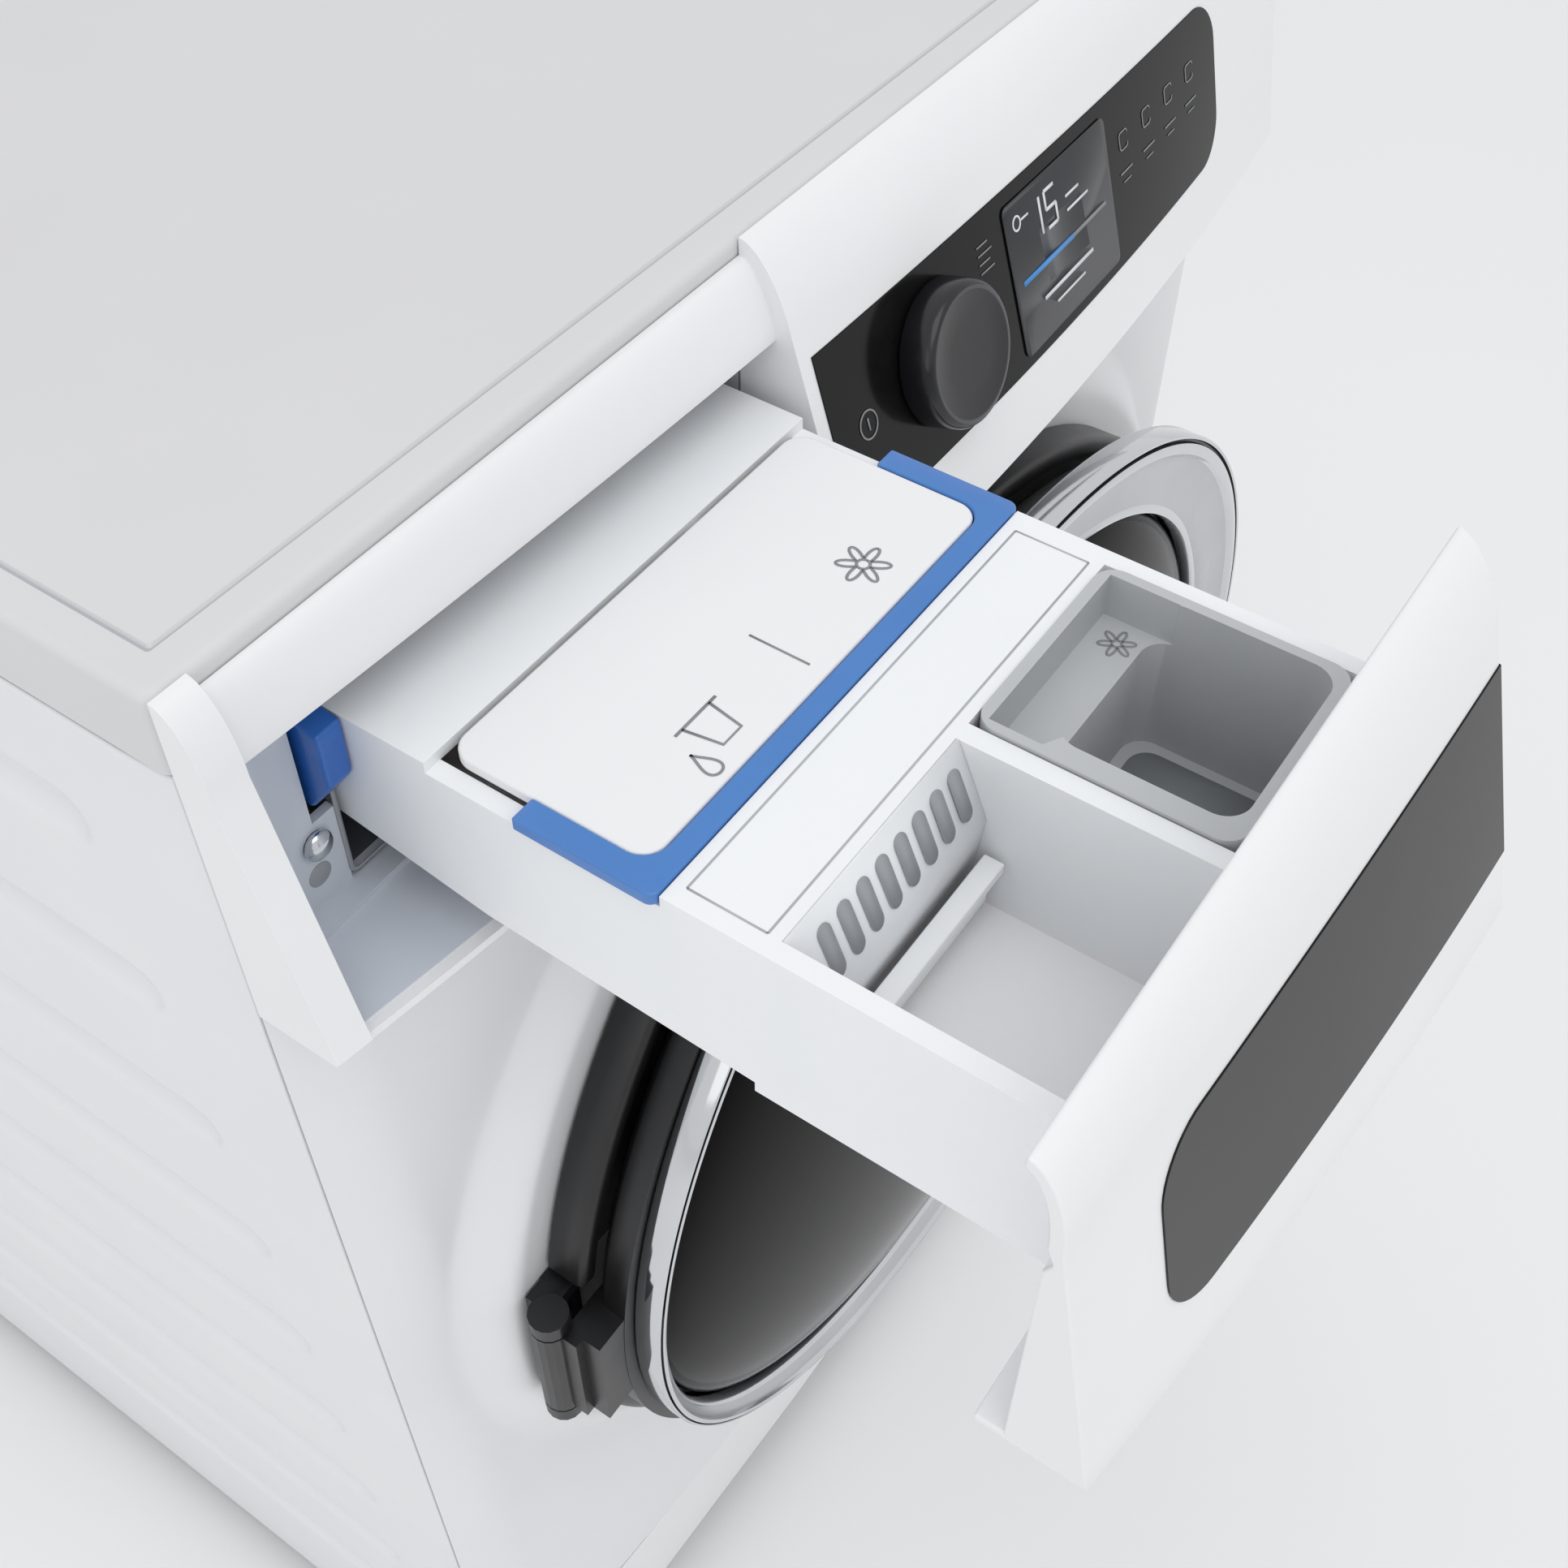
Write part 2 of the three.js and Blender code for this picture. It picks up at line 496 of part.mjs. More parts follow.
function drumPulley() {
  const windows = [];
  for (let i = 0; i < 5; i += 1) {
    const angle = (i * 2 * Math.PI) / 5;
    const [x, z] = [86 * Math.cos(angle), drumZ + 86 * Math.sin(angle)];
    windows.push(rodY(26, pulleys.y - 12, pulleys.y + 12, x, z, 8));
  }
  const { y, drum: rimRadius } = pulleys;
  const disc = ringY([[14.6, y - 4], [rimRadius - 8, y - 3], [rimRadius, y - 7], [rimRadius, y + 7],
    [rimRadius - 8, y + 3], [14.6, y + 8]], 0, drumZ, 32);
  return cut(disc, ...windows);
}
// The belt is one band round both pulleys: an outline of two arcs and their outer tangents.
function driveBelt() {
  const dx = pulleys.motorX;
  const dz = pulleys.motorZ - drumZ;
  const span = Math.hypot(dx, dz);
  const bearingAngle = Math.atan2(dz, dx);
  const band = (extra) => {
    const big = pulleys.drum + extra;
    const small = pulleys.motor + extra;
    const wrap = Math.acos((big - small) / span);
    const points = [];
    const turns = 24;
    for (let i = 0; i <= turns; i += 1) {
      const angle = bearingAngle + wrap + (i / turns) * (2 * Math.PI - 2 * wrap);
      points.push([big * Math.cos(angle), drumZ + big * Math.sin(angle)]);
    }
    for (let i = 0; i <= 6; i += 1) {
      const angle = bearingAngle - wrap + (i / 6) * 2 * wrap;
      points.push([dx + small * Math.cos(angle), pulleys.motorZ + small * Math.sin(angle)]);
    }
    return points;
  };
  const shape = outline(band(4));
  shape.holes.push(new THREE.Path(band(gap).map(([x, z]) => new THREE.Vector2(x, z)).reverse()));
  return alongY(shape, pulleys.y - 6, pulleys.y + 6);
}
function motor() {
  const can = ringY([[8.6, 455], [62, 455], [66, 450], [66, 330], [50, 322], [0, 322], [0, 330],
    [8.6, 330]], pulleys.motorX, pulleys.motorZ, 28);
  return join(can, box(40, 60, 340, 440, 108, 180), box(120, 140, 340, 440, 108, 180));
}
function motorPulley() {
  return ringY([[0, 334], [8, 334], [8, 457], [pulleys.motor, 457], [pulleys.motor, 474], [0, 474]],
    pulleys.motorX, pulleys.motorZ, 20);
}
function counterweight() {
  const block = box(-52, 130, 80, 300, 650, 800);
  return cut(block, rodY(tubRadius + gap, 60, 320, 0, drumZ, 48));
}
function hangingSpring(side) {
  const coil = rodZ(11, 668, 780, side * 226, 340, 12);
  return join(coil, rodZ(3, 640, worktopUnder - 4, side * 226, 340, 8));
}
function damper(side) {
  const low = [side * 210, 290, 50];
  const mid = [side * 184, 290, 150];
  const high = [side * 158, 290, 244];
  return join(rodBetween(low, mid, 13), rodBetween(mid, high, 6));
}
function heater() {
  const legs = [-18, 0, 18].map((x) => rodY(3, 110, 433, x, 207.3, 8));
  return join(box(-46, 46, 431, 446, 204.4, 220.6), ...legs, box(-20, 20, 106, 113, 204.6, 210));
}

// ---- water path ---------------------------------------------------------------------------------
function drainPump() {
  const volute = rodY(38, 90, 150, 206, 66, 20);
  const snout = rodY(26, 0, 92, 206, 66, 20);
  const wet = rodY(22, -1, 84, 206, 66, 20);
  return join(volute, snout, box(170, 242, 88, 140, 41, 66)).subtract(solidOf(wet))
    .subtract(solidOf(rodZ(12, 96, 116, 206, 120, 12)));
}
const filterCap = () => join(rodY(24.5, -6, -0.5, 206, 66, 20), rodY(20, -1, 60, 206, 66, 20),
  box(188, 224, -12, -5, 62, 70));
const sumpHose = () => solidOf(hose([[sump.x, sump.y, 232], [sump.x, sump.y, 206], [150, 190, 168],
  [200, 135, 142], [206, 120, 122], [206, 120, 107]], 11.5, 9, 12));
const fillHose = () => solidOf(hose([[-170, 240, 729], [-170, 244, 712], [-170, 286, 690],
  [-170, 290, 664]], 9, 7, 6));
function inletValve() {
  const spigots = [216, 246].map((x) => rodY(12, 548, 572, x, 766, 16));
  return join(box(200, 260, 500, 550, 740, 792), ...spigots, rodY(7, 480, 502, 230, 756, 12));
}
const inletHose = () => solidOf(hose([[230, 479, 756], [230, 440, 756], [140, 400, 770], [-20, 380, 775],
  [-150, 340, 755], [-170, 301, 745]], 7.6, 5.6, 12));
const mainsGland = () => ringY([[5, 552], [8.5, 552], [8.5, 563], [13, 563], [11, 572], [5, 572]],
  -240, 700, 16);

// ---- assembly -----------------------------------------------------------------------------------
const white = 0xeeeeee;
const enamel = [white, 0.3];
const plastic = [0xf2f2f2, 0.38];
const steel = [0xb9bcc0, 0.32, 1];
const black = [0x161616, 0.35];
const rubber = [0x8c8f92, 0.8];

add('worktop', worktop(), 0xdddddd, 0.4);
add('side_panel_left', sidePanel(-1), ...enamel);
add('side_panel_right', sidePanel(1), ...enamel);
add('front_panel', frontPanel(), ...enamel);
add('back_panel', backPanel(), ...enamel);
add('service_cover', serviceCover(), ...enamel);
add('base_tray', baseTray(), 0xa8abad, 0.5, 0.8);
add('kick_plate', kickPlate(), ...plastic);
[[-250, 50], [250, 50], [-250, 500], [250, 500]].forEach(([x, y], index) => {
  add(`levelling_foot_${index + 1}`, foot(x, y), ...black);
});
add('filter_flap', filterFlap(), ...plastic);
add('control_fascia', fascia(), ...plastic);
add('control_glass', controlGlass(), 0x1a1a1a, 0.15);
add('control_module', controlModule(), 0x2a2d30, 0.6);
add('program_knob', knobTurned(), 0x141414, 0.3);
add('drawer_housing', drawerHousing(), 0xc5cad2, 0.45);
add('steel_stud', steelStud(), ...steel);

const pulledOut = [
  add('drawer_tray', drawerBody(), ...plastic),
  add('drawer_front', drawerFront(), ...plastic),
  add('drawer_glass', drawerGlass(), 0x1a1a1a, 0.15),
  add('dosing_frame', doseFrame(), 0x3f74b8, 0.35),
  add('dosing_lid', doseLid(), ...plastic),
  add('softener_insert', softenerInsert(), 0xb0b0b0, 0.5),
  add('powder_flap', powderFlap(), ...plastic),
  add('release_lever', releaseLever(), 0x1e5aa8, 0.35),
];
for (const piece of pulledOut) piece.position.y = -travel;

add('door_surround', doorSurround(), 0x101010, 0.3);
add('hinge_bracket', hingeBracket(), ...steel);
add('door_carrier', doorCarrier(), ...black);
add('door_rim', doorRim(), 0xd0d2d4, 0.15, 1);
add('door_glass', doorGlass(), 0x0c0c0c, 0.05);
add('door_bowl', doorBowl(), 0xcfd8dc, 0.05);
add('door_hook', doorHook(), ...steel);
add('door_lock', doorLock(), ...black);
add('door_gasket', doorGasket(), ...rubber);

add('tub_front', tubFrontHalf(), 0x9a9d9f, 0.7);
add('tub_rear', tubRearHalf(), 0x9a9d9f, 0.7);
add('drum', drumShell(), ...steel);
[0, 1, 2].forEach((index) => add(`drum_lifter_${index + 1}`, lifter(index), 0x9fb4c4, 0.4));
add('drum_spider', drumSpider(), 0x8a8d90, 0.6, 0.8);
add('drum_pulley', drumPulley(), 0x8a8d90, 0.5, 0.8);
add('drive_belt', driveBelt(), 0x1a1a1a, 0.8);
add('motor', motor(), 0x707377, 0.5, 0.7);
add('motor_pulley', motorPulley(), ...steel);
add('counterweight', counterweight(), 0x8d8c88, 0.9);
add('hanging_spring_left', hangingSpring(-1), ...steel);
add('hanging_spring_right', hangingSpring(1), ...steel);
add('damper_left', damper(-1), ...black);
add('damper_right', damper(1), ...black);
add('heater', heater(), ...steel);
add('drain_pump', drainPump(), 0xd8d8d4, 0.5);
add('filter_cap', filterCap(), 0x9a9d9f, 0.5);
add('sump_hose', sumpHose(), ...black);
add('fill_hose', fillHose(), ...black);
add('inlet_valve', inletValve(), 0xd8d8d4, 0.5);
add('inlet_hose', inletHose(), ...black);
add('mains_gland', mainsGland(), ...black);

// The origin is under the middle of the whole machine, drawer and water inlets included.
const group = new THREE.Group();
group.add(machine);
machine.position.y = -new THREE.Box3().setFromObject(machine).getCenter(new THREE.Vector3()).y;

export default group;
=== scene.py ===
# Front load washing machine with its dispenser drawer pulled out: finished surfaces over the CAD frame.
import math
import bmesh
import bpy
import numpy as np
from mathutils import Matrix, Vector


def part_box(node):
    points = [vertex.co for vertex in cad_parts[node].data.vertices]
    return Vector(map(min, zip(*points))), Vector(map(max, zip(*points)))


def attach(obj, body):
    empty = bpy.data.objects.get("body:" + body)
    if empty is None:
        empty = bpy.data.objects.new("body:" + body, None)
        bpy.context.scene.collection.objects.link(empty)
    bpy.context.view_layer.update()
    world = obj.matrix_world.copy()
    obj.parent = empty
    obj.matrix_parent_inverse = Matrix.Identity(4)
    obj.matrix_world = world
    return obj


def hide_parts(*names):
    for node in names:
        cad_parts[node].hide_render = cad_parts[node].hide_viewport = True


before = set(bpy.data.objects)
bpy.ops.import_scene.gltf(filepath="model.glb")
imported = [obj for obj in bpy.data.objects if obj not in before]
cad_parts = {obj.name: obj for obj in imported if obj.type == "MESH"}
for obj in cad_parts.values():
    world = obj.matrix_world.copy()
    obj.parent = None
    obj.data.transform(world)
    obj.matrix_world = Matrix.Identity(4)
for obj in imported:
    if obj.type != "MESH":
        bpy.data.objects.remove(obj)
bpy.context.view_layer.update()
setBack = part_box("back_panel")[1][1] * 1000 - 560  # millimetres from the drawing's front plane to the row frame
drawnOut = -222.0  # the drawer stands this far out of the cabinet

def toFrame(points):
    # Millimetres as drawn become metres in the row frame.
    return (np.asarray(points, float).reshape(-1, 3) + [0, setBack, 0]) / 1000


def gridFaces(rows, columns, wrapColumns=False, wrapRows=False):
    # Quads between neighbouring rows and columns of a grid of points.
    row, column = np.meshgrid(np.arange(rows - (not wrapRows)), np.arange(columns - (not wrapColumns)), indexing="ij")
    nextRow, nextColumn = (row + 1) % rows, (column + 1) % columns
    corners = [row * columns + column, row * columns + nextColumn, nextRow * columns + nextColumn,
               nextRow * columns + column]
    return np.stack(corners, -1).reshape(-1, 4).tolist()


def roundEdges(piece, width, sharp):
    # A small three-step bevel, in millimetres, on edges turning by more than the sharp angle.
    edge = piece.modifiers.new("edge", "BEVEL")
    edge.width, edge.segments, edge.limit_method = width / 1000, 3, "ANGLE"
    edge.angle_limit, edge.harden_normals = math.radians(sharp), True


def newPiece(name, parts, body, materials, nodes=(), thick=0, bevel=0, sharp=38, closed=True):
    # Parts are (points, faces, material index or one per face); they become one mesh with wall and edge modifiers.
    points, faces, marks, start = [], [], [], 0
    for part in parts:
        place = np.asarray(part[0], float).reshape(-1, 3)
        points.append(place)
        faces += [tuple(index + start for index in face) for face in part[1]]
        mark = part[2] if len(part) > 2 else 0
        marks += list(mark) if isinstance(mark, (list, np.ndarray)) else [mark] * len(part[1])
        start += len(place)
    mesh = bpy.data.meshes.new(name)
    mesh.from_pydata(toFrame(np.concatenate(points)).tolist(), [], faces)
    for material in materials:
        mesh.materials.append(material)
    mesh.polygons.foreach_set("material_index", marks)
    shape = bmesh.new()
    shape.from_mesh(mesh)
    bmesh.ops.remove_doubles(shape, verts=shape.verts, dist=2e-6)
    bmesh.ops.dissolve_degenerate(shape, edges=shape.edges, dist=1e-6)
    if closed:
        bmesh.ops.recalc_face_normals(shape, faces=shape.faces)
    shape.to_mesh(mesh)
    shape.free()
    mesh.polygons.foreach_set("use_smooth", [True] * len(mesh.polygons))
    mesh.set_sharp_from_angle(angle=math.radians(sharp))
    piece = bpy.data.objects.new(name, mesh)
    bpy.context.scene.collection.objects.link(piece)
    if thick:
        wall = piece.modifiers.new("wall", "SOLIDIFY")
        wall.thickness, wall.offset = abs(thick) / 1000, math.copysign(1, thick)
    if bevel:
        roundEdges(piece, bevel, sharp)
    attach(piece, body)
    if nodes:
        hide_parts(*nodes)
    return piece


def eased(node, body, material, bevel):
    # A copy of a CAD solid with its triangles merged to flat faces and its edges rounded as moulded ones are.
    source = bpy.data.objects[node]
    shape = bmesh.new()
    shape.from_mesh(source.data)
    bmesh.ops.remove_doubles(shape, verts=shape.verts, dist=1e-5)
    bmesh.ops.dissolve_limit(shape, angle_limit=math.radians(1.5), verts=shape.verts, edges=shape.edges)
    mesh = bpy.data.meshes.new(node + "_eased")
    shape.to_mesh(mesh)
    shape.free()
    mesh.materials.clear()
    mesh.materials.append(material)
    mesh.polygons.foreach_set("material_index", [0] * len(mesh.polygons))
    mesh.polygons.foreach_set("use_smooth", [True] * len(mesh.polygons))
    mesh.set_sharp_from_angle(angle=math.radians(35))
    piece = bpy.data.objects.new(mesh.name, mesh)
    bpy.context.scene.collection.objects.link(piece)
    roundEdges(piece, bevel, 35)
    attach(piece, body)
    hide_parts(node)
    return piece


def darkenBehind(piece, depth, material):
    # Splits the faces at a depth and gives those behind it a second finish, used here as painted shade.
    shape = bmesh.new()
    shape.from_mesh(piece.data)
    cut = (depth + setBack) / 1000
    everything = shape.verts[:] + shape.edges[:] + shape.faces[:]
    bmesh.ops.bisect_plane(shape, geom=everything, plane_co=(0, cut, 0), plane_no=(0, 1, 0), dist=1e-6)
    shape.to_mesh(piece.data)
    shape.free()
    centre = np.empty(3 * len(piece.data.polygons))
    piece.data.polygons.foreach_get("center", centre)
    piece.data.polygons.foreach_set("material_index", (centre[1::3] > cut).astype(int))
    piece.data.materials.append(material)


def arc(cx, cy, radius, start, end, count, squash=1.0):
    # Points round a circle or ellipse, angles in degrees.
    angle = np.radians(np.linspace(start, end, count))
    return np.stack([cx + radius * np.cos(angle), cy + radius * squash * np.sin(angle)], -1)


def roundedRect(x0, x1, y0, y1, radius, count=8):
    # Outline of a rectangle with circular corners, counter-clockwise.
    return np.concatenate([arc(x1 - radius, y1 - radius, radius, 0, 90, count),
                           arc(x0 + radius, y1 - radius, radius, 90, 180, count),
                           arc(x0 + radius, y0 + radius, radius, 180, 270, count),
                           arc(x1 - radius, y0 + radius, radius, 270, 360, count)])


def loft(outlines, marks=None, capFirst=True, capLast=True):
    # Closed outlines of equal count stacked one after another, with flat caps at both ends.
    rows, columns = len(outlines), len(outlines[0])
    faces = gridFaces(rows, columns, wrapColumns=True)
    mark = np.repeat(marks if marks is not None else np.zeros(rows - 1, int), columns).tolist()
    if capFirst:
        faces.append(list(range(columns)))
        mark.append(mark[0])
    if capLast:
        faces.append(list(range((rows - 1) * columns, rows * columns)))
        mark.append(mark[columns * (rows - 2)])
    return np.concatenate(outlines), faces, mark


def turned(profile, z, count=160, start=0, end=360, marks=None, wrap=True):
    # Rows of (radius, y, centre x) turned about the y axis; each row may have its own centre.
    profile = np.asarray(profile, float)
    whole = abs(end - start - 360) < 1e-6
    angle = np.radians(np.linspace(start, end, count, endpoint=not whole))
    x = profile[:, 2, None] + profile[:, 0, None] * np.cos(angle)
    up = z + profile[:, 0, None] * np.sin(angle)
    points = np.stack([x, np.repeat(profile[:, 1, None], len(angle), 1), up], -1)
    faces = gridFaces(len(profile), len(angle), wrapColumns=whole, wrapRows=wrap)
    rows = len(profile) if wrap else len(profile) - 1
    mark = np.repeat(marks if marks is not None else np.zeros(rows, int), len(angle) - (not whole)).tolist()
    if not whole:
        for column in (0, len(angle) - 1):
            faces.append([row * len(angle) + column for row in range(len(profile))])
            mark.append(0)
    return points, faces, mark


# The fascia's face, shared by the fascia, the drawer's front and the black bands.
face = {"half": 298, "height": 850, "under": 724, "roll": 822, "top": -12, "bottom": -30, "topBulge": 8,
        "bottomBulge": 22}


def bulge(z):
    # Grows from the roll to the bottom edge, and dies out to nothing at the worktop.
    z = np.asarray(z, float)
    down = (face["roll"] - z) / (face["roll"] - face["under"])
    fade = np.clip((face["height"] - z) / (face["height"] - face["roll"]), 0, 1)
    return np.where(z > face["roll"], face["topBulge"] * fade,
                    face["topBulge"] + (face["bottomBulge"] - face["topBulge"]) * down)


def faceY(x, z, proud=0.0):
    # Leaning face, a straight line from bottom to roll, plus a parabola across the machine.
    x, z = np.asarray(x, float), np.asarray(z, float)
    end = face["top"] + (face["bottom"] - face["top"]) * (face["roll"] - z) / (face["roll"] - face["under"])
    return end - bulge(z) * (1 - (x / face["half"]) ** 2) - proud


def rollPath(inset, count=14):
    # Quarter ellipse from the face's top to the worktop's front edge, as (y, z).
    angle = np.linspace(0, np.pi / 2, count)
    rise = face["height"] - face["roll"] - inset
    return np.stack([(face["top"] + inset) * np.cos(angle), face["roll"] + rise * np.sin(angle)], -1)


def sweepX(section, stations):
    # A closed (y, z, share of bulge) outline carried across the machine, pushed forward by the bulge.
    section, stations = np.asarray(section, float), np.asarray(stations, float)
    x = np.repeat(stations[:, None], len(section), 1)
    y = section[None, :, 0] - section[None, :, 2] * bulge(section[:, 1])[None] * (1 - (x / face["half"]) ** 2)
    points = np.stack([x, y, np.repeat(section[None, :, 1], len(stations), 0)], -1)
    faces = gridFaces(len(stations), len(section), wrapColumns=True)
    faces.append(list(range(len(section))))
    faces.append(list(range((len(stations) - 1) * len(section), len(stations) * len(section))))
    return points, faces


def withShare(path, share=1.0):
    # Adds a third column to a (y, z) path: how much of the bulge its points take.
    return np.concatenate([path, np.full((len(path), 1), share)], 1)


def strokeOn(path, width, surface):
    # A flat printed line: the path widened both ways and laid on a surface function of two values.
    path = np.asarray(path, float)
    along = np.gradient(path, axis=0)
    side = np.stack([-along[:, 1], along[:, 0]], -1)
    side = side / np.maximum(np.linalg.norm(side, axis=1, keepdims=True), 1e-9) * width / 2
    return surface(np.stack([path - side, path + side], 1).reshape(-1, 2)), gridFaces(len(path), 2)


def patchOn(outline, surface):
    # One flat printed face: an outline laid on a surface function.
    return surface(np.asarray(outline, float)), [list(range(len(outline)))]


def linear(hexColour):
    # sRGB hex to the linear values that shaders read.
    part = np.array([int(hexColour[i:i + 2], 16) for i in (1, 3, 5)]) / 255
    value = np.where(part <= 0.04045, part / 12.92, ((part + 0.055) / 1.055) ** 2.4)
    return (*value.tolist(), 1.0)


def addNode(tree, kind, settings=None, values=None):
    # Adds one shader node; a socket given as a value is linked, anything else is set.
    made = tree.nodes.new(kind)
    for key, value in (settings or {}).items():
        setattr(made, key, value)
    for key, value in (values or {}).items():
        if isinstance(value, bpy.types.NodeSocket):
            tree.links.new(value, made.inputs[key])
        else:
            made.inputs[key].default_value = value
    return made


def makeFinish(name, light, dark, rough, spread, grain, depth, broad=60, stretch=(1, 1, 1), **shader):
    # Broad noise drifts colour and roughness, fine noise of grain millimetres gives the surface its relief.
    material = bpy.data.materials.new(name)
    material.use_nodes = True
    tree = material.node_tree
    tree.nodes.clear()
    place = addNode(tree, "ShaderNodeTexCoord")
    turn = addNode(tree, "ShaderNodeMapping", values={"Vector": place.outputs["Object"], "Scale": stretch})
    drift = addNode(tree, "ShaderNodeTexNoise",
                    values={"Vector": turn.outputs[0], "Scale": 1000 / broad, "Detail": 3.0})
    fine = addNode(tree, "ShaderNodeTexNoise",
                   values={"Vector": turn.outputs[0], "Scale": 1000 / grain, "Detail": 2.0})
    colour = addNode(tree, "ShaderNodeMix", {"data_type": "RGBA"}, {"Factor": drift.outputs["Fac"]})
    colour.inputs["A"].default_value, colour.inputs["B"].default_value = linear(light), linear(dark)
    roughness = addNode(tree, "ShaderNodeMapRange",
                        values={"Value": drift.outputs["Fac"], "From Min": 0.3, "From Max": 0.7,
                                                             "To Min": rough - spread, "To Max": rough + spread})
    relief = addNode(tree, "ShaderNodeBump",
                     values={"Height": fine.outputs["Fac"], "Strength": 1.0, "Distance": depth / 1000})
    base = addNode(tree, "ShaderNodeBsdfPrincipled",
                   values={"Roughness": roughness.outputs[0], "Normal": relief.outputs[0]})
    tree.links.new(colour.outputs["Result"], base.inputs["Base Color"])
    for key, value in shader.items():
        base.inputs[key].default_value = value
    addNode(tree, "ShaderNodeOutputMaterial", values={"Surface": base.outputs[0]})
    return material


def socketed(**words):
    # Socket names written as keywords: underscores stand for spaces.
    return {key.replace("_", " "): value for key, value in words.items()}


# Powder enamel on sheet steel: white, glossy, with a faint orange peel a few millimetres across.
enamel = makeFinish("whitePowderEnamel", "#E6E7E8", "#E2E3E5", 0.34, 0.03, 2.2, 0.0015)
# Moulded ABS with a polished tool: a little warmer and softer in gloss than the enamel.
mouldedAbs = makeFinish("whiteMouldedAbs", "#ECECED", "#E8E9EA", 0.34, 0.04, 1.2, 0.0015)
# Moulded polypropylene: satin, cooler, slightly see-through at the edges.
polypropylene = makeFinish("satinPolypropylene", "#F1F2F3", "#ECEDEF", 0.42, 0.05, 0.9, 0.002,
                           **socketed(Subsurface_Weight=0.05))
# Melamine laminate on board: matt white with a fine pearl grain, its colour set darker than the enamel as painted
# shade for the top lying dimmer under the light.
laminateWithPaintedShade = makeFinish("whiteLaminatePaintedShade", "#D6D6D6", "#D1D1D1", 0.46, 0.05, 0.7, 0.004, 90)
# Grey-blue polypropylene of the drawer's bay.
bayPlastic = makeFinish("palePolypropyleneBay", "#CDD2DA", "#BEC4CD", 0.48, 0.05, 1.0, 0.008)
# Painted shade for the inside of the bay, where hardly any light reaches: a dark polypropylene colour.
bayShadow = makeFinish("paintedBayShade", "#55595F", "#45494F", 0.6, 0.05, 1.0, 0.004)
# Back-printed acrylic: deep black under a hard clear gloss.
blackAcrylic = makeFinish("blackAcrylic", "#141415", "#101011", 0.16, 0.03, 6, 0.001,
                          **socketed(Specular_IOR_Level=0.2))
# Smoked tempered glass of the door: almost black, mirror smooth.
smokedGlass = makeFinish("smokedDoorGlass", "#0B0B0D", "#070708", 0.1, 0.02, 30, 0.001,
                         **socketed(Specular_IOR_Level=0.05))
# Metallised trim: bright mirror band.
chrome = makeFinish("chromedTrim", "#D8DADC", "#CBCDD0", 0.1, 0.03, 8, 0.001, **socketed(Metallic=1.0))
# Satin painted silver ring.
satinSilver = makeFinish("satinSilverTrim", "#C9CBCD", "#BCBEC1", 0.3, 0.04, 0.8, 0.004, **socketed(Metallic=0.85))
# Moulded black ABS, satin.
blackAbs = makeFinish("blackMouldedAbs", "#18181A", "#101012", 0.36, 0.05, 0.8, 0.006)
# Knob: black gloss cap.
knobBlack = makeFinish("blackGlossKnob", "#202023", "#161618", 0.22, 0.03, 1.5, 0.003)
# Knob edge: a thin ring of lighter grey than the black cap, a painted highlight on its polished chamfer.
knobEdgeHighlight = makeFinish("paintedKnobEdgeHighlight", "#4A4B4E", "#3E3F42", 0.18, 0.02, 3, 0.001)
# Grey polypropylene of the softener insert, satin, and its darker basin.
greyInsert = makeFinish("greyPolypropylene", "#BFC1C3", "#B2B5B8", 0.46, 0.05, 0.8, 0.008)
greyDark = makeFinish("greyPolypropyleneBasin", "#9A9DA1", "#8C9094", 0.5, 0.05, 0.8, 0.008)
# Blue polypropylene of the frame, a little translucent, and the solid blue ABS of the lever.
bluePlastic = makeFinish("bluePolypropylene", "#4D86CB", "#3F74B8", 0.3, 0.04, 1.0, 0.005,
                         **socketed(Subsurface_Weight=0.08))
blueDeep = makeFinish("deepBlueAbs", "#2E69BC", "#2159A8", 0.28, 0.04, 1.0, 0.005)
# Moulded rubbers: soft and dull, grey for the gasket and black for hoses.
greyRubber = makeFinish("greyMouldedRubber", "#8F9295", "#83868A", 0.72, 0.06, 0.8, 0.020)
blackRubber = makeFinish("blackMouldedRubber", "#1C1C1D", "#141415", 0.74, 0.06, 0.8, 0.020)
# Stainless steel, brushed along one way, and the same steel polished.
steel = makeFinish("brushedStainless", "#C4C7CB", "#B4B8BD", 0.26, 0.05, 0.8, 0.004, 40, (1, 1, 14),
                   **socketed(Metallic=1.0))
polishedSteel = makeFinish("polishedStainless", "#D2D5D9", "#C4C7CB", 0.12, 0.02, 3, 0.001, **socketed(Metallic=1.0))
# Metals that stay inside: spangled zinc sheet, sand-grained casting, plain steel; then concrete and tub plastic.
zinc = makeFinish("galvanisedSheet", "#B2B5B8", "#9C9FA3", 0.42, 0.08, 5, 0.010, 18, **socketed(Metallic=0.9))
castMetal = makeFinish("dieCastAluminium", "#A5A8AC", "#94979B", 0.5, 0.06, 1.2, 0.030, **socketed(Metallic=0.9))
motorSteel = makeFinish("plainMotorSteel", "#7C8085", "#6C7075", 0.42, 0.06, 1.5, 0.010, **socketed(Metallic=0.9))
ballast = makeFinish("castConcrete", "#98968F", "#84827C", 0.9, 0.05, 3, 0.300, 12)
tubPlastic = makeFinish("filledPolypropylene", "#A6A9AC", "#989B9F", 0.6, 0.06, 1.2, 0.020)
# Pressed glass of the door bowl: clear, with a slight green cast.
clearGlass = makeFinish("pressedGlass", "#E4ECEC", "#DCE6E6", 0.05, 0.02, 20, 0.010,
                        **socketed(Transmission_Weight=1.0, IOR=1.5))
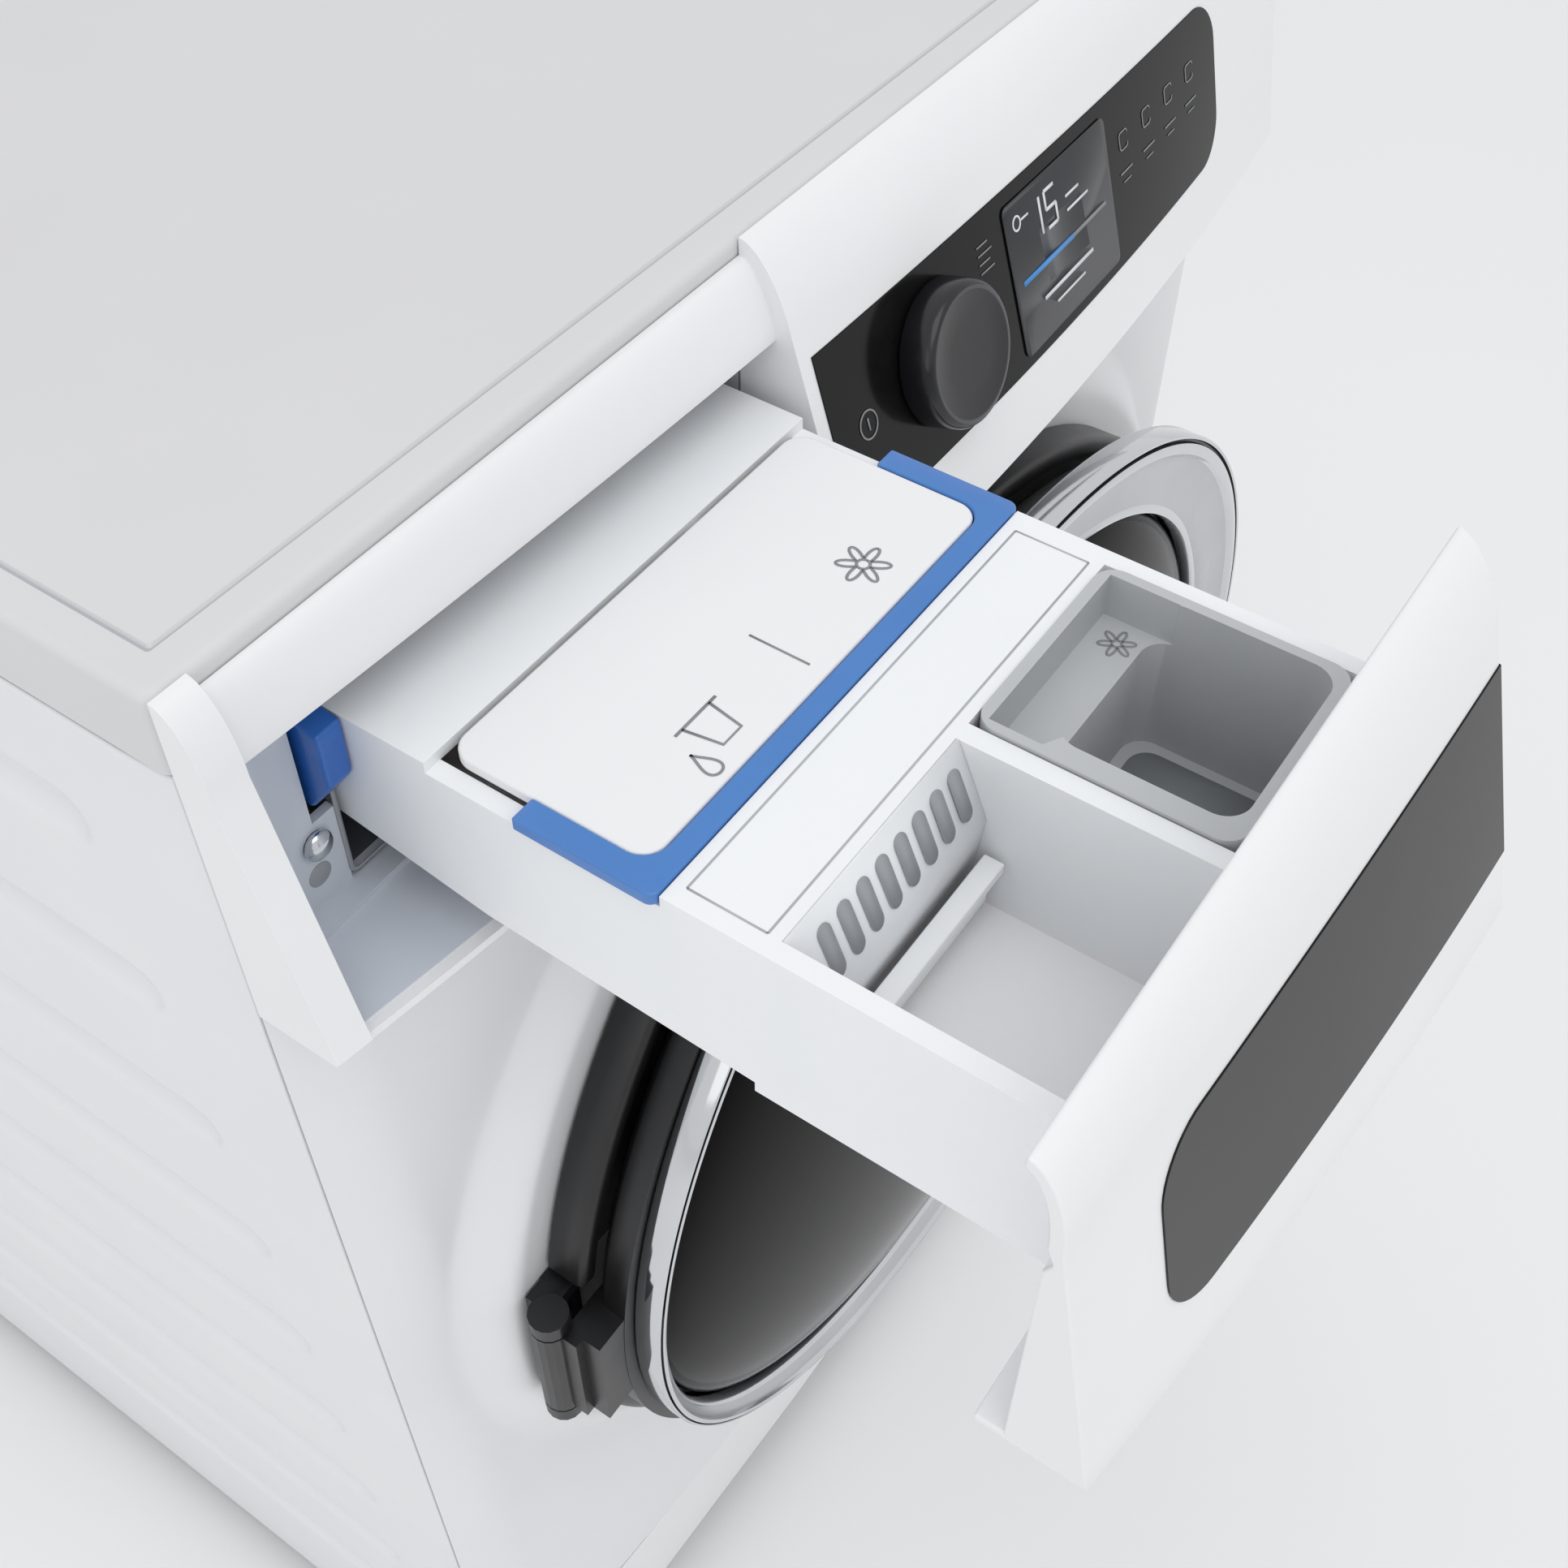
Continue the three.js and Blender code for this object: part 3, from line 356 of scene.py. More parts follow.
# Screen printing: flat inks, slightly rougher than what they lie on.
greyInk = makeFinish("greyInk", "#8E9092", "#86888A", 0.5, 0.03, 0.5, 0.002)
whiteInk = makeFinish("whiteInk", "#E8EAEC", "#DCDEE0", 0.4, 0.03, 0.5, 0.002)
blueInk = makeFinish("blueInk", "#4E9AE0", "#3F88D0", 0.4, 0.03, 0.5, 0.002)
displayGrey = makeFinish("displayPanel", "#3A3B3E", "#303134", 0.2, 0.03, 3, 0.002)
# Shade colours for slots and moulded grooves.
slotShade = makeFinish("slotShade", "#A3A6AA", "#94979B", 0.7, 0.05, 1, 0.004)
softShade = makeFinish("shadedGroove", "#B9BCC0", "#AEB2B6", 0.6, 0.05, 1, 0.008)
print("finishes ready")

# Worktop: board with an inset field.
top = {"half": 298, "under": 822, "height": 850, "front": 0.5, "rear": 560, "round": 3.2, "corner": 5, "inset": 11.5,
       "groove": 1.0, "field": 849.9}


def worktopLevel(inset, z):
    # The worktop's rounded outline at one height, drawn in by the inset.
    corner = max(top["corner"] - inset * 0.35, 1.2)
    outline = roundedRect(-top["half"] + inset, top["half"] - inset, top["front"] + inset, top["rear"] - inset,
                          corner, 6)
    return np.concatenate([outline, np.full((len(outline), 1), z)], 1)


angles = np.linspace(0, np.pi / 2, 7)
levels = [worktopLevel(0.6, top["under"]), worktopLevel(0, top["under"] + 0.8)]
levels += [worktopLevel(top["round"] * (1 - math.cos(a)),
                        top["height"] - top["round"] * (1 - math.sin(a))) for a in angles]
inset = top["inset"]
grooveFloor = top["height"] - top["groove"]
levels += [worktopLevel(inset, top["height"]), worktopLevel(inset + 0.5, grooveFloor),
           worktopLevel(inset + 1.5, grooveFloor),
           worktopLevel(inset + 2.1, top["field"]), worktopLevel(40, top["field"])]
marks = [0] * (len(levels) - 1)
# The groove's floor takes the shaded groove finish: painted shade.
marks[-3] = 1
newPiece("worktop_board", [loft(levels, marks)], "cabinet", [laminateWithPaintedShade, softShade], ["worktop"],
         sharp=30)

# Side panels: sheet with pressed ribs.
rib = {"face": 298, "count": 9, "first": 771, "pitch": 81, "half": 12, "press": 5.2, "start": 50, "end": 496}


def pressDepth(y, z):
    # Each rib is a rounded trough: depth falls off smoothly with distance from its centre line.
    nearest = np.clip(y, rib["start"] + rib["half"], rib["end"] - rib["half"])
    index = np.clip(np.round((rib["first"] - z) / rib["pitch"]), 0, rib["count"] - 1)
    off = np.hypot(y - nearest, z - (rib["first"] - index * rib["pitch"]))
    amount = np.clip(1.25 * (1 - off / rib["half"]), 0, 1)
    return rib["press"] * amount * amount * (3 - 2 * amount)


def sidePanel(side):
    # A sheet on a (depth, height) grid: the outer plane less the ribs' depth and less a fold at the front edge.
    y = np.unique(np.concatenate([[2.2, 3, 20], np.linspace(40, 84, 18), np.linspace(84, 462, 20),
                                  np.linspace(462, 505, 18), [530, 557.4]]))
    z = np.linspace(16.2, 821.3, 300)
    depth, up = np.meshgrid(y, z, indexing="ij")
    fold = 2.2 * np.clip((6 - depth) / 4, 0, 1) ** 2
    x = side * (rib["face"] - pressDepth(depth, up) - fold)
    return np.stack([x, depth, up], -1), gridFaces(len(y), len(z))


for side, name in ((-1, "left"), (1, "right")):
    points, faces = sidePanel(side)
    if side > 0:
        faces = [quad[::-1] for quad in faces]
    newPiece("side_sheet_" + name, [(points, faces)], "cabinet", [enamel], ["side_panel_" + name],
             thick=-1.2, closed=False)
print("worktop and sides ready")

# Front panel: bowed sheet with a raised land round the door.
land = {"z": 466, "mouth": 166, "outer": 254, "foot": 276, "y": -28, "lip": -24.5, "half": 298, "under": 100.6,
        "top": 723.4, "corner": 28, "bow": 16}


def frontPanel():
    # A polar grid from the door opening to the land's foot, then on to the sheet's rectangular outline.
    low, high, wide = land["under"] - land["z"], land["top"] - land["z"], land["half"] - 0.4
    corners = [math.atan2(z, x) % (2 * math.pi) for x, z in ((wide, high), (-wide, high), (-wide, low), (wide, low))]
    angle = np.unique(np.concatenate([np.linspace(0, 2 * np.pi, 260, endpoint=False), corners]))
    reach = np.minimum(wide / np.maximum(abs(np.cos(angle)), 1e-6),
                       np.where(np.sin(angle) > 0, high, -low) / np.maximum(abs(np.sin(angle)), 1e-6))
    mouth, outer, foot = land["mouth"], land["outer"], land["foot"]
    inner = np.concatenate([[mouth, mouth + 1.5, 200, 240, outer - 2], np.linspace(outer, foot, 12)])
    outward = np.sin(np.linspace(0, np.pi / 2, 22))[1:]
    beyond = foot + (np.maximum(reach, foot) - foot) * outward[:, None]
    radius = np.concatenate([np.minimum(inner[:, None], reach), beyond])
    radius = np.minimum(radius, reach)
    x, z = radius * np.cos(angle), land["z"] + radius * np.sin(angle)
    edge = np.clip((land["half"] - abs(x)) / land["corner"], 0, 1)
    sheetY = -8 * np.sin(edge * np.pi / 2) - land["bow"] * (1 - (x / land["half"]) ** 2)
    blend = np.clip((radius - outer) / (foot - outer), 0, 1)
    blend = blend * blend * (3 - 2 * blend)
    raised = np.where(radius < mouth + 1, land["lip"], land["y"])
    y = raised + (sheetY - raised) * blend
    return np.stack([x, y, z], -1), gridFaces(len(radius), len(angle), wrapColumns=True)


points, faces = frontPanel()
newPiece("front_sheet", [(points, faces)], "cabinet", [enamel], ["front_panel"], thick=1.0,
         closed=False)

# Fascia: solid ends, a recessed bar over the drawer, and the right-hand part.
opening = {"left": -286, "right": -66, "sill": 727}
outer = np.concatenate([[[face["bottom"] + 1.2, face["under"]], [face["bottom"] - 0.1, face["under"] + 1.2]],
                        [[face["top"], face["roll"]]], rollPath(0)[1:]])
faceRows = np.linspace(face["under"] + 1.2, face["roll"], 12)[1:-1]
middle = np.stack([face["top"] + (face["bottom"] - face["top"]) * (face["roll"] - faceRows) / 98, faceRows], -1)
outer = np.concatenate([outer[:2], middle, outer[2:]])
solid = np.concatenate([withShare(outer), [[0, 850, 0], [0, 724, 0]]])[::-1]
bar = np.concatenate([[[face["top"] + 7.5, 818.2]], [[face["top"] + 6.2, 819.4]], rollPath(6)])
barSolid = np.concatenate([withShare(bar), [[0, 844, 0], [0, 818.2, 0]]])[::-1]
under, sill = face["under"], opening["sill"]
sillSection = [[-29.0, under, 1], [-29.0, sill, 1], [-20, sill, 1], [-20, under, 1]]
left, right = opening["left"], opening["right"]
parts = [sweepX(solid, np.linspace(-face["half"], left, 5)), sweepX(solid, np.linspace(right, face["half"], 60)),
         sweepX(barSolid, np.linspace(left - 1, right + 1, 30)),
         sweepX(sillSection, np.linspace(left - 1, right + 1, 24))]
newPiece("fascia_moulding", parts, "cabinet", [mouldedAbs], ["control_fascia"], bevel=1.1, sharp=42)


def onFace(proud):
    # Lays (x, z) pairs on the leaning face, proud of it by the given millimetres.
    return lambda pair: np.stack([pair[:, 0], faceY(pair[:, 0], pair[:, 1], proud), pair[:, 1]], -1)


# Black bands: bowed plates with their far ends rounded.
band = {"under": 750, "top": 813, "round": 18, "thick": 2.6, "proud": 0.5}


def bandPlate(near, far, proud, shift=0.0):
    # Columns from the straight end to the rounded end; each spans bottom to top less the corner's inset.
    radius, sign = band["round"], math.copysign(1, far - near)
    turn = np.linspace(0, np.pi / 2, 12)
    x = np.concatenate([np.linspace(near, far - sign * radius, 40), far - sign * radius * (1 - np.sin(turn[1:]))])
    cutIn = np.where(sign * (x - far) > -radius,
                     radius - np.sqrt(np.maximum(radius ** 2 - (x - far + sign * radius) ** 2, 0)), 0)
    share = np.linspace(0, 1, 14)
    z = (band["under"] + cutIn)[:, None] + (band["top"] - band["under"] - 2 * cutIn)[:, None] * share
    across = np.repeat(x[:, None], len(share), 1)
    front = np.stack([across, faceY(across, z, proud) + shift, z], -1)
    rear = front + [0, band["thick"], 0]
    rows, columns = len(x), len(share)
    faces = gridFaces(rows, columns)
    back = (np.array(faces)[:, ::-1] + rows * columns).tolist()
    rim = np.concatenate([np.arange(columns), np.arange(1, rows) * columns + columns - 1,
                          (rows - 1) * columns + np.arange(columns - 1)[::-1],
                          np.arange(1, rows - 1)[::-1] * columns])
    after = np.roll(rim, -1)
    wall = np.stack([rim, after, after + rows * columns, rim + rows * columns], -1).tolist()
    return np.concatenate([front.reshape(-1, 3), rear.reshape(-1, 3)]), faces + back + wall


newPiece("control_band", [bandPlate(-60, 228, band["proud"])], "cabinet", [blackAcrylic], ["control_glass"],
         bevel=0.7, sharp=40)
newPiece("drawer_band", [bandPlate(-66.6, -250, band["proud"], drawnOut)], "drawer", [blackAcrylic], ["drawer_glass"],
         bevel=0.7, sharp=40)
print("front and fascia ready")

# Programme knob, square on the leaning face.
knob = {"x": 2, "z": 783, "radius": 25, "deep": 14}
tilt = math.atan((face["top"] - face["bottom"] + face["bottomBulge"] - face["topBulge"]) / 98)
knobY = float(faceY(0, knob["z"], 0.4))


def squareOnFace(part):
    # Turns points made about the y axis to the face's lean and sets them at the knob.
    points = np.asarray(part[0], float).reshape(-1, 3)
    y = points[:, 1] * math.cos(tilt) + points[:, 2] * math.sin(tilt)
    z = -points[:, 1] * math.sin(tilt) + points[:, 2] * math.cos(tilt)
    return (np.stack([points[:, 0] + knob["x"], y + knobY, z + knob["z"]], -1), *part[1:])


deep = knob["deep"]
cap = [(0, -deep + 0.9, 0), (12, -deep + 0.8, 0), (20.4, -deep + 0.3, 0), (21.4, -deep, 0), (22.6, -deep, 0),
       (24.0, -deep + 1.0, 0),
       (24.8, -deep + 2.6, 0), (knob["radius"], -1.6, 0), (24, -0.6, 0), (3.9, -0.6, 0), (3.9, 18, 0), (0, 18, 0)]
# The ring from 21.4 to 22.6 mm on the cap's face takes the painted highlight.
knobPart = turned(cap, 0, 120, marks=[0, 0, 0, 1, 0, 0, 0, 0, 0, 0, 0], wrap=False)
newPiece("knob_cap", [squareOnFace(knobPart)], "program_knob", [knobBlack, knobEdgeHighlight], ["program_knob"],
         sharp=50)

# Display and printed marks.
display = {"x0": 52, "x1": 128, "z0": 754, "z1": 808}
segments = {"1": "bc", "5": "afgcd"}


def digit(which, x, z, width, height):
    # Seven-bar figure: every lit bar is a short straight stroke.
    ends = {"a": ((0, 1), (1, 1)), "b": ((1, 1), (1, .5)), "c": ((1, .5), (1, 0)), "d": ((0, 0), (1, 0)),
            "e": ((0, 0), (0, .5)),
            "f": ((0, .5), (0, 1)), "g": ((0, .5), (1, .5))}
    return [np.array([[x + a * width, z + b * height] for a, b in ends[key]]) for key in segments[which]]


screen = roundedRect(display["x0"], display["x1"], display["z0"], display["z1"], 3)
newPiece("display_window", [patchOn(screen, onFace(0.9))], "cabinet", [displayGrey], thick=0.3,
         closed=False)
ink = onFace(1.3)
lit = [strokeOn(line, 1.2, ink) for which, x in (("1", 69), ("5", 80)) for line in digit(which, x, 789, 7, 13)]
lit += [strokeOn([[94, 789], [110, 789]], 0.9, ink), strokeOn([[94, 794], [104, 794]], 0.9, ink)]
lit += [strokeOn([[70, 768], [108, 768]], 1.3, ink), strokeOn([[78, 763], [100, 763]], 0.8, ink)]
lit += [strokeOn(arc(60, 800, 2.4, 0, 360, 25), 0.7, ink), strokeOn([[62.4, 800], [68, 800]], 0.7, ink)]
newPiece("display_figures", lit, "cabinet", [whiteInk], thick=0.25, closed=False)
newPiece("display_bar", [strokeOn([[58, 779], [96, 779]], 1.8, ink)], "cabinet", [blueInk],
         thick=0.25, closed=False)
newPiece("display_rest", [strokeOn([[96, 779], [122, 779]], 1.4, ink)], "cabinet", [greyInk],
         thick=0.25, closed=False)
ink = onFace(0.85)
power = [strokeOn(arc(-42, 781, 4.6, 0, 360, 48), 0.6, ink), strokeOn([[-42, 779], [-42, 783.2]], 0.7, ink)]
menu = [strokeOn([[34, z], [41 + extra, z]], 0.5, ink) for z, extra in ((803, 0), (800, 2), (797, 0), (794, 2))]
keys = []
for x in (142, 162, 182, 202):
    keys.append(strokeOn(roundedRect(x - 3.2, x + 3.2, 790, 796.4, 1.4), 0.45, ink))
    keys.append(strokeOn([[x - 5, 782], [x + 5, 782]], 0.6, ink))
    keys.append(strokeOn([[x - 3, 778.5], [x + 3, 778.5]], 0.45, ink))
newPiece("control_prints", power + menu + keys, "cabinet", [greyInk], thick=0.2, closed=False)
print("controls ready")

# Drawer front: bowed shell with a rolled top and a solid backing.
innerRoll = rollPath(4.2)[::-1]
frontRows = np.linspace(729.2, face["roll"], 12)[:-1]
frontFace = np.stack([face["top"] + (face["bottom"] - face["top"]) * (face["roll"] - frontRows) / 98, frontRows], -1)
shell = np.concatenate([[[-29.0, 728.2, 1]], withShare(frontFace), withShare(rollPath(0)[:-1]),
                        [[-0.6, 849.6, 0.0], [-0.4, 846.4, 0.0]],
                        withShare(innerRoll[1:]),
                        [[-9.6, 817, 1], [-8.5, 812, 0], [-8.5, 731, 0], [-0.6, 731, 0], [-0.6, 728.2, 0]]])[::-1]
shift = np.array([0, drawnOut, 0])
points, faces = sweepX(shell, np.linspace(-285.5, -66.5, 40))
newPiece("drawer_moulding", [(points + shift, faces)], "drawer", [mouldedAbs], ["drawer_front"],
         bevel=1.0, sharp=44)

# Tray and what stands in it.
eased("drawer_tray", "drawer", polypropylene, 1.2)
horseshoe = {"left": -248, "right": -70, "front": 118.4, "rear": 163, "wide": 8.4, "front wide": 7, "round": 8,
             "top": 801, "under": 796.6}


def blueFrame():
    # A horseshoe: an outer and an inner path of equal count, given height by four rows.
    x0, x1, y0, y1 = (horseshoe[key] for key in ("left", "right", "front", "rear"))
    wide, radius = horseshoe["wide"], horseshoe["round"]
    outerPath = np.concatenate([[[x0, y1], [x0, y0 + 3]], arc(x0 + 3, y0 + 3, 3, 180, 270, 8),
                                arc(x1 - 3, y0 + 3, 3, 270, 360, 8), [[x1, y0 + 3], [x1, y1]]])
    ix0, ix1, iy0 = x0 + wide, x1 - wide, y0 + horseshoe["front wide"]
    innerPath = np.concatenate([[[ix0, y1], [ix0, iy0 + radius]],
                                arc(ix0 + radius, iy0 + radius, radius, 180, 270, 8),
                                arc(ix1 - radius, iy0 + radius, radius, 270, 360, 8),
                                [[ix1, iy0 + radius], [ix1, y1]]])
    rows = [np.concatenate([path, np.full((len(path), 1), z)], 1) for path, z in
            ((outerPath, horseshoe["under"]), (outerPath, horseshoe["top"]),
             (innerPath, horseshoe["top"]), (innerPath, horseshoe["under"]))]
    points = np.stack(rows, 1) + [0, drawnOut, 0]
    count = len(outerPath)
    return points, gridFaces(count, 4, wrapColumns=True) + [[0, 1, 2, 3],
                                                            [4 * count - 4, 4 * count - 3, 4 * count - 2,
                                                             4 * count - 1]]


newPiece("blue_frame", [blueFrame()], "drawer", [bluePlastic], ["dosing_frame"], bevel=0.7, sharp=50)
eased("dosing_lid", "dosing_lid", mouldedAbs, 0.9)
eased("softener_insert", "drawer", greyInsert, 1.3)
eased("powder_flap", "powder_flap", polypropylene, 0.6)
eased("release_lever", "release_lever", blueDeep, 1.4)
bay = eased("drawer_housing", "cabinet", bayPlastic, 0.8)
# Faces of the bay deeper than 13 mm take the painted shade.
darkenBehind(bay, 13.0, bayShadow)


def onLevel(z):
    # Lays (x, y) pairs flat at one height.
    return lambda pair: np.stack([pair[:, 0], pair[:, 1], np.full(len(pair), float(z))], -1)


# Slotted wall behind the powder room, leaning back, with eight rounded slots drawn as flat patches of painted shade.
wall = {"x0": -239.8, "x1": -160.2, "lowY": 75, "highY": 86, "low": 775, "high": 799.9, "slots": 8, "slotHalf": 2.7,
        "firstSlot": -228, "slotPitch": 8.7, "footY": 78.5, "foot": 741.4}
wallPoints = [[wall["x0"], wall["lowY"], wall["low"]], [wall["x1"], wall["lowY"], wall["low"]],
              [wall["x1"], wall["highY"], wall["high"]],
              [wall["x0"], wall["highY"], wall["high"]], [wall["x0"], wall["footY"], wall["foot"]],
              [wall["x1"], wall["footY"], wall["foot"]]]
newPiece("slotted_wall", [(np.array(wallPoints) + shift, [[0, 1, 2, 3], [4, 5, 1, 0]])], "drawer", [polypropylene],
         thick=1.0, closed=False)


def onWall(pair):
    # The second value runs from 0 at the slotted wall's foot to 1 at its top, along its lean.
    share = pair[:, 1]
    y = wall["lowY"] + (wall["highY"] - wall["lowY"]) * share + drawnOut
    return np.stack([pair[:, 0], y - 1.2, wall["low"] + (wall["high"] - wall["low"]) * share + 0.4], -1)


slots, halfWide = [], wall["slotHalf"]
for index in range(wall["slots"]):
    x = wall["firstSlot"] + index * wall["slotPitch"]
    slotOutline = np.concatenate([arc(x, 0.72, halfWide, 0, 180, 9, 1 / 27),
                                  arc(x, 0.3, halfWide, 180, 360, 9, 1 / 27)])
    slots.append(patchOn(slotOutline, onWall))
newPiece("wall_slot_shade", slots, "drawer", [slotShade], thick=0.3, closed=False)

# Moulded seams drawn as lines of painted shade, and printed dosing marks, without words.
seam = {"left": -240, "right": -80, "front": 90 + drawnOut, "rear": 114 + drawnOut, "wide": 0.7, "z": 800.05}
seamEnds = [("left", "front", "right", "front"), ("left", "rear", "right", "rear"), ("left", "front", "left", "rear"),
            ("right", "front", "right", "rear")]
seamShadeLines = [strokeOn([[seam[a], seam[b]], [seam[c], seam[d]]], seam["wide"], onLevel(seam["z"])) for a, b, c,
         d in seamEnds]
newPiece("tray_seam_shade", seamShadeLines, "drawer", [softShade], thick=0.12, closed=False)


def flower(cx, cy, size):
    # Radius swells and shrinks six times with the cosine of the angle, giving six petals.
    turn = np.linspace(0, 2 * np.pi, 80)
    reach = size * (0.66 + 0.34 * np.cos(6 * turn))
    return np.stack([cx + reach * np.cos(turn), cy + reach * np.sin(turn)], -1)


def onLid(pair):
    # The lid's top, carried out with the drawer.
    return onLevel(800.75)(np.stack([pair[:, 0], pair[:, 1] + drawnOut], -1))


turnOfDrop = np.linspace(0, 2 * np.pi, 40)
drop = np.stack([-205 + 3.2 * np.sin(turnOfDrop) * (1 - np.cos(turnOfDrop)) / 1.6, 134 + 5 * np.cos(turnOfDrop)], -1)
marksOnLid = [strokeOn(flower(-118, 142, 8), 0.9, onLid), strokeOn(arc(-118, 142, 2, 0, 360, 24), 0.9, onLid),
              strokeOn([[-160, 132], [-160, 152]], 0.7, onLid), strokeOn(drop, 0.8, onLid),
              strokeOn([[-199, 146], [-197, 134], [-189, 134], [-187, 146]], 0.9, onLid),
              strokeOn([[-202, 146], [-184, 146]], 0.9, onLid)]
newPiece("lid_prints", marksOnLid, "dosing_lid", [greyInk], thick=0.12, closed=False)


def onShelf(pair):
    # The softener insert's shelf, carried out with the drawer.
    return onLevel(786.2)(np.stack([pair[:, 0], pair[:, 1] + drawnOut], -1))


newPiece("insert_print",
         [strokeOn(flower(-91, 73, 5.5), 0.7, onShelf), strokeOn(arc(-91, 73, 1.4, 0, 360, 20), 0.7, onShelf)],
         "drawer", [greyInk], thick=0.12, closed=False)
basin = roundedRect(-142, -86, 16 + drawnOut, 62 + drawnOut, 7)
newPiece("insert_basin", [patchOn(basin, onLevel(745.3))], "drawer", [greyDark], thick=0.3,
         closed=False)

# Release lever's pressed pad.
pad = [[240, 799], [246, 801.5], [247.5, 794], [243, 775], [235, 771]]
padPoints = np.array([[-256.25, y + drawnOut, z] for y, z in pad])
newPiece("lever_pad", [(padPoints, [[0, 1, 2, 3, 4]])], "release_lever", [bluePlastic],
         thick=0.2, closed=False)

# Bay: catch ball and its socket.
catch = {"x": -259, "ballZ": 755, "discX": -260, "discZ": 742}
ball = [(radius, y, catch["x"]) for radius, y in
        ((0, 4.4), (1.5, 4.5), (3, 5.0), (4.3, 5.9), (5.1, 7), (5.1, 7.6), (4, 8.9), (4, 14), (0, 14))]
newPiece("catch_ball", [turned(ball, catch["ballZ"], 48, wrap=False)], "cabinet", [polishedSteel], ["steel_stud"],
         sharp=60)
disc = [(radius, y, catch["discX"]) for radius, y in ((0, 8.6), (3.4, 8.4), (4.2, 8.8), (4.2, 9.4), (0, 9.4))]
newPiece("catch_disc", [turned(disc, catch["discZ"], 40, wrap=False)], "cabinet", [greyDark],
         sharp=60)


def onBay(pair):
    # Lays (x, z) pairs on the upright plane just inside the bay's mouth.
    return np.stack([pair[:, 0], np.full(len(pair), 8.6), pair[:, 1]], -1)


newPiece("bay_trim", [strokeOn(roundedRect(-249, -67, 731.5, 816, 3), 1.6, onBay)], "cabinet", [greyDark],
         thick=0.4, closed=False)
print("drawer ready")

# Door.
door = {"z": 466, "rim": 15, "lens": -3, "lensRadius": 219, "seat": -64, "crown": 28}
ringProfile = [(168, -29, 0), (241, -29, 0), (242, -30, 0), (242.2, -43, 0), (241.2, -45.2, 0), (239, -46, 0),
               (235, -46, 0), (233, -45, 0),
               (230, -40, 0), (227, -37.4, 0), (168, -36, 0)]
newPiece("surround_ring", [turned(ringProfile, door["z"], 200, 190.5, 529.5)], "cabinet", [blackAbs],
         ["door_surround"], sharp=50)

carrier = [(150, -62.2, 0), (150, -47.8, 0), (231.6, -47.8, 0), (236.1, -52, 0), (236.1, -62.2, 0)]
newPiece("carrier_ring", [turned(carrier, door["z"], 180)], "door", [blackAbs], sharp=50)

lens, rim = door["lens"], door["rim"]


def step(share):
    # The ring's rows move their centre from the lens's to the rim's by this share.
    return lens + (rim - lens) * share


rimProfile = [(219.6, -62.6, lens), (219.6, -70.5, lens), (220.4, -72.2, lens), (221.6, -72.6, step(.05)),
              (223, -71.6, step(.1)),
              (226, -69.9, step(.25)), (230, -69.2, step(.42)), (234, -70, step(.6)), (237.4, -72.2, step(.74)),
              (238.6, -73.8, step(.8)),
              (239.4, -75.6, step(.84)), (241.6, -76, step(.9)), (243, -75.4, step(.94)), (243.3, -73.6, step(.95)),
              (244.1, -73.6, step(.97)),
              (244.5, -75.0, step(.98)), (245.4, -75.2, rim), (246, -74.2, rim), (246, -64, rim), (245, -62.5, rim)]
rimMarks = [1, 1, 1, 1, 0, 0, 0, 0, 0, 1, 1, 1, 2, 2, 2, 1, 1, 1, 1, 0]
newPiece("rim_ring", [turned(rimProfile, door["z"], 220, marks=rimMarks)], "door", [satinSilver, chrome, blackAbs],
         ["door_rim"], sharp=45)

sweep = np.linspace(0, np.pi / 2, 26)
domeOuter = [(door["lensRadius"] * math.cos(a), door["seat"] - door["crown"] * math.sin(a), lens) for a in sweep]
domeInner = [((door["lensRadius"] - 5) * math.cos(a), door["seat"] - (door["crown"] - 4) * math.sin(a), lens)
             for a in sweep[::-1]]
newPiece("door_dome", [turned(domeOuter + domeInner, door["z"], 180)], "door", [smokedGlass], ["door_glass"],
         sharp=50)
print("door ready")

# Kick plate, its flap and the back's cover.
eased("kick_plate", "cabinet", mouldedAbs, 0.8)
eased("filter_flap", "filter_flap", mouldedAbs, 0.6)
eased("service_cover", "cabinet", enamel, 0.8)
eased("hinge_bracket", "cabinet", blackAbs, 0.6)

# Finishes on the CAD solids that stay.
kept = {"back_panel": enamel, "base_tray": zinc, "levelling_foot_1": blackAbs, "levelling_foot_2": blackAbs,
        "levelling_foot_3": blackAbs,
        "levelling_foot_4": blackAbs, "control_module": blackAbs, "door_carrier": blackAbs, "door_bowl": clearGlass,
        "door_hook": steel,
        "door_lock": blackAbs, "door_gasket": greyRubber, "tub_front": tubPlastic, "tub_rear": tubPlastic,
        "drum": steel,
        "drum_lifter_1": tubPlastic, "drum_lifter_2": tubPlastic, "drum_lifter_3": tubPlastic,
        "drum_spider": castMetal,
        "drum_pulley": castMetal, "drive_belt": blackRubber, "motor": motorSteel, "motor_pulley": steel,
        "counterweight": ballast,
        "hanging_spring_left": steel, "hanging_spring_right": steel, "damper_left": blackAbs,
        "damper_right": blackAbs, "heater": steel,
        "drain_pump": polypropylene, "filter_cap": greyInsert, "sump_hose": blackRubber, "fill_hose": blackRubber,
        "inlet_valve": polypropylene, "inlet_hose": blackRubber, "mains_gland": blackAbs}
for node, material in kept.items():
    solids = bpy.data.objects[node]
    solids.data.materials.clear()
    solids.data.materials.append(material)
print("CAD solids finished")

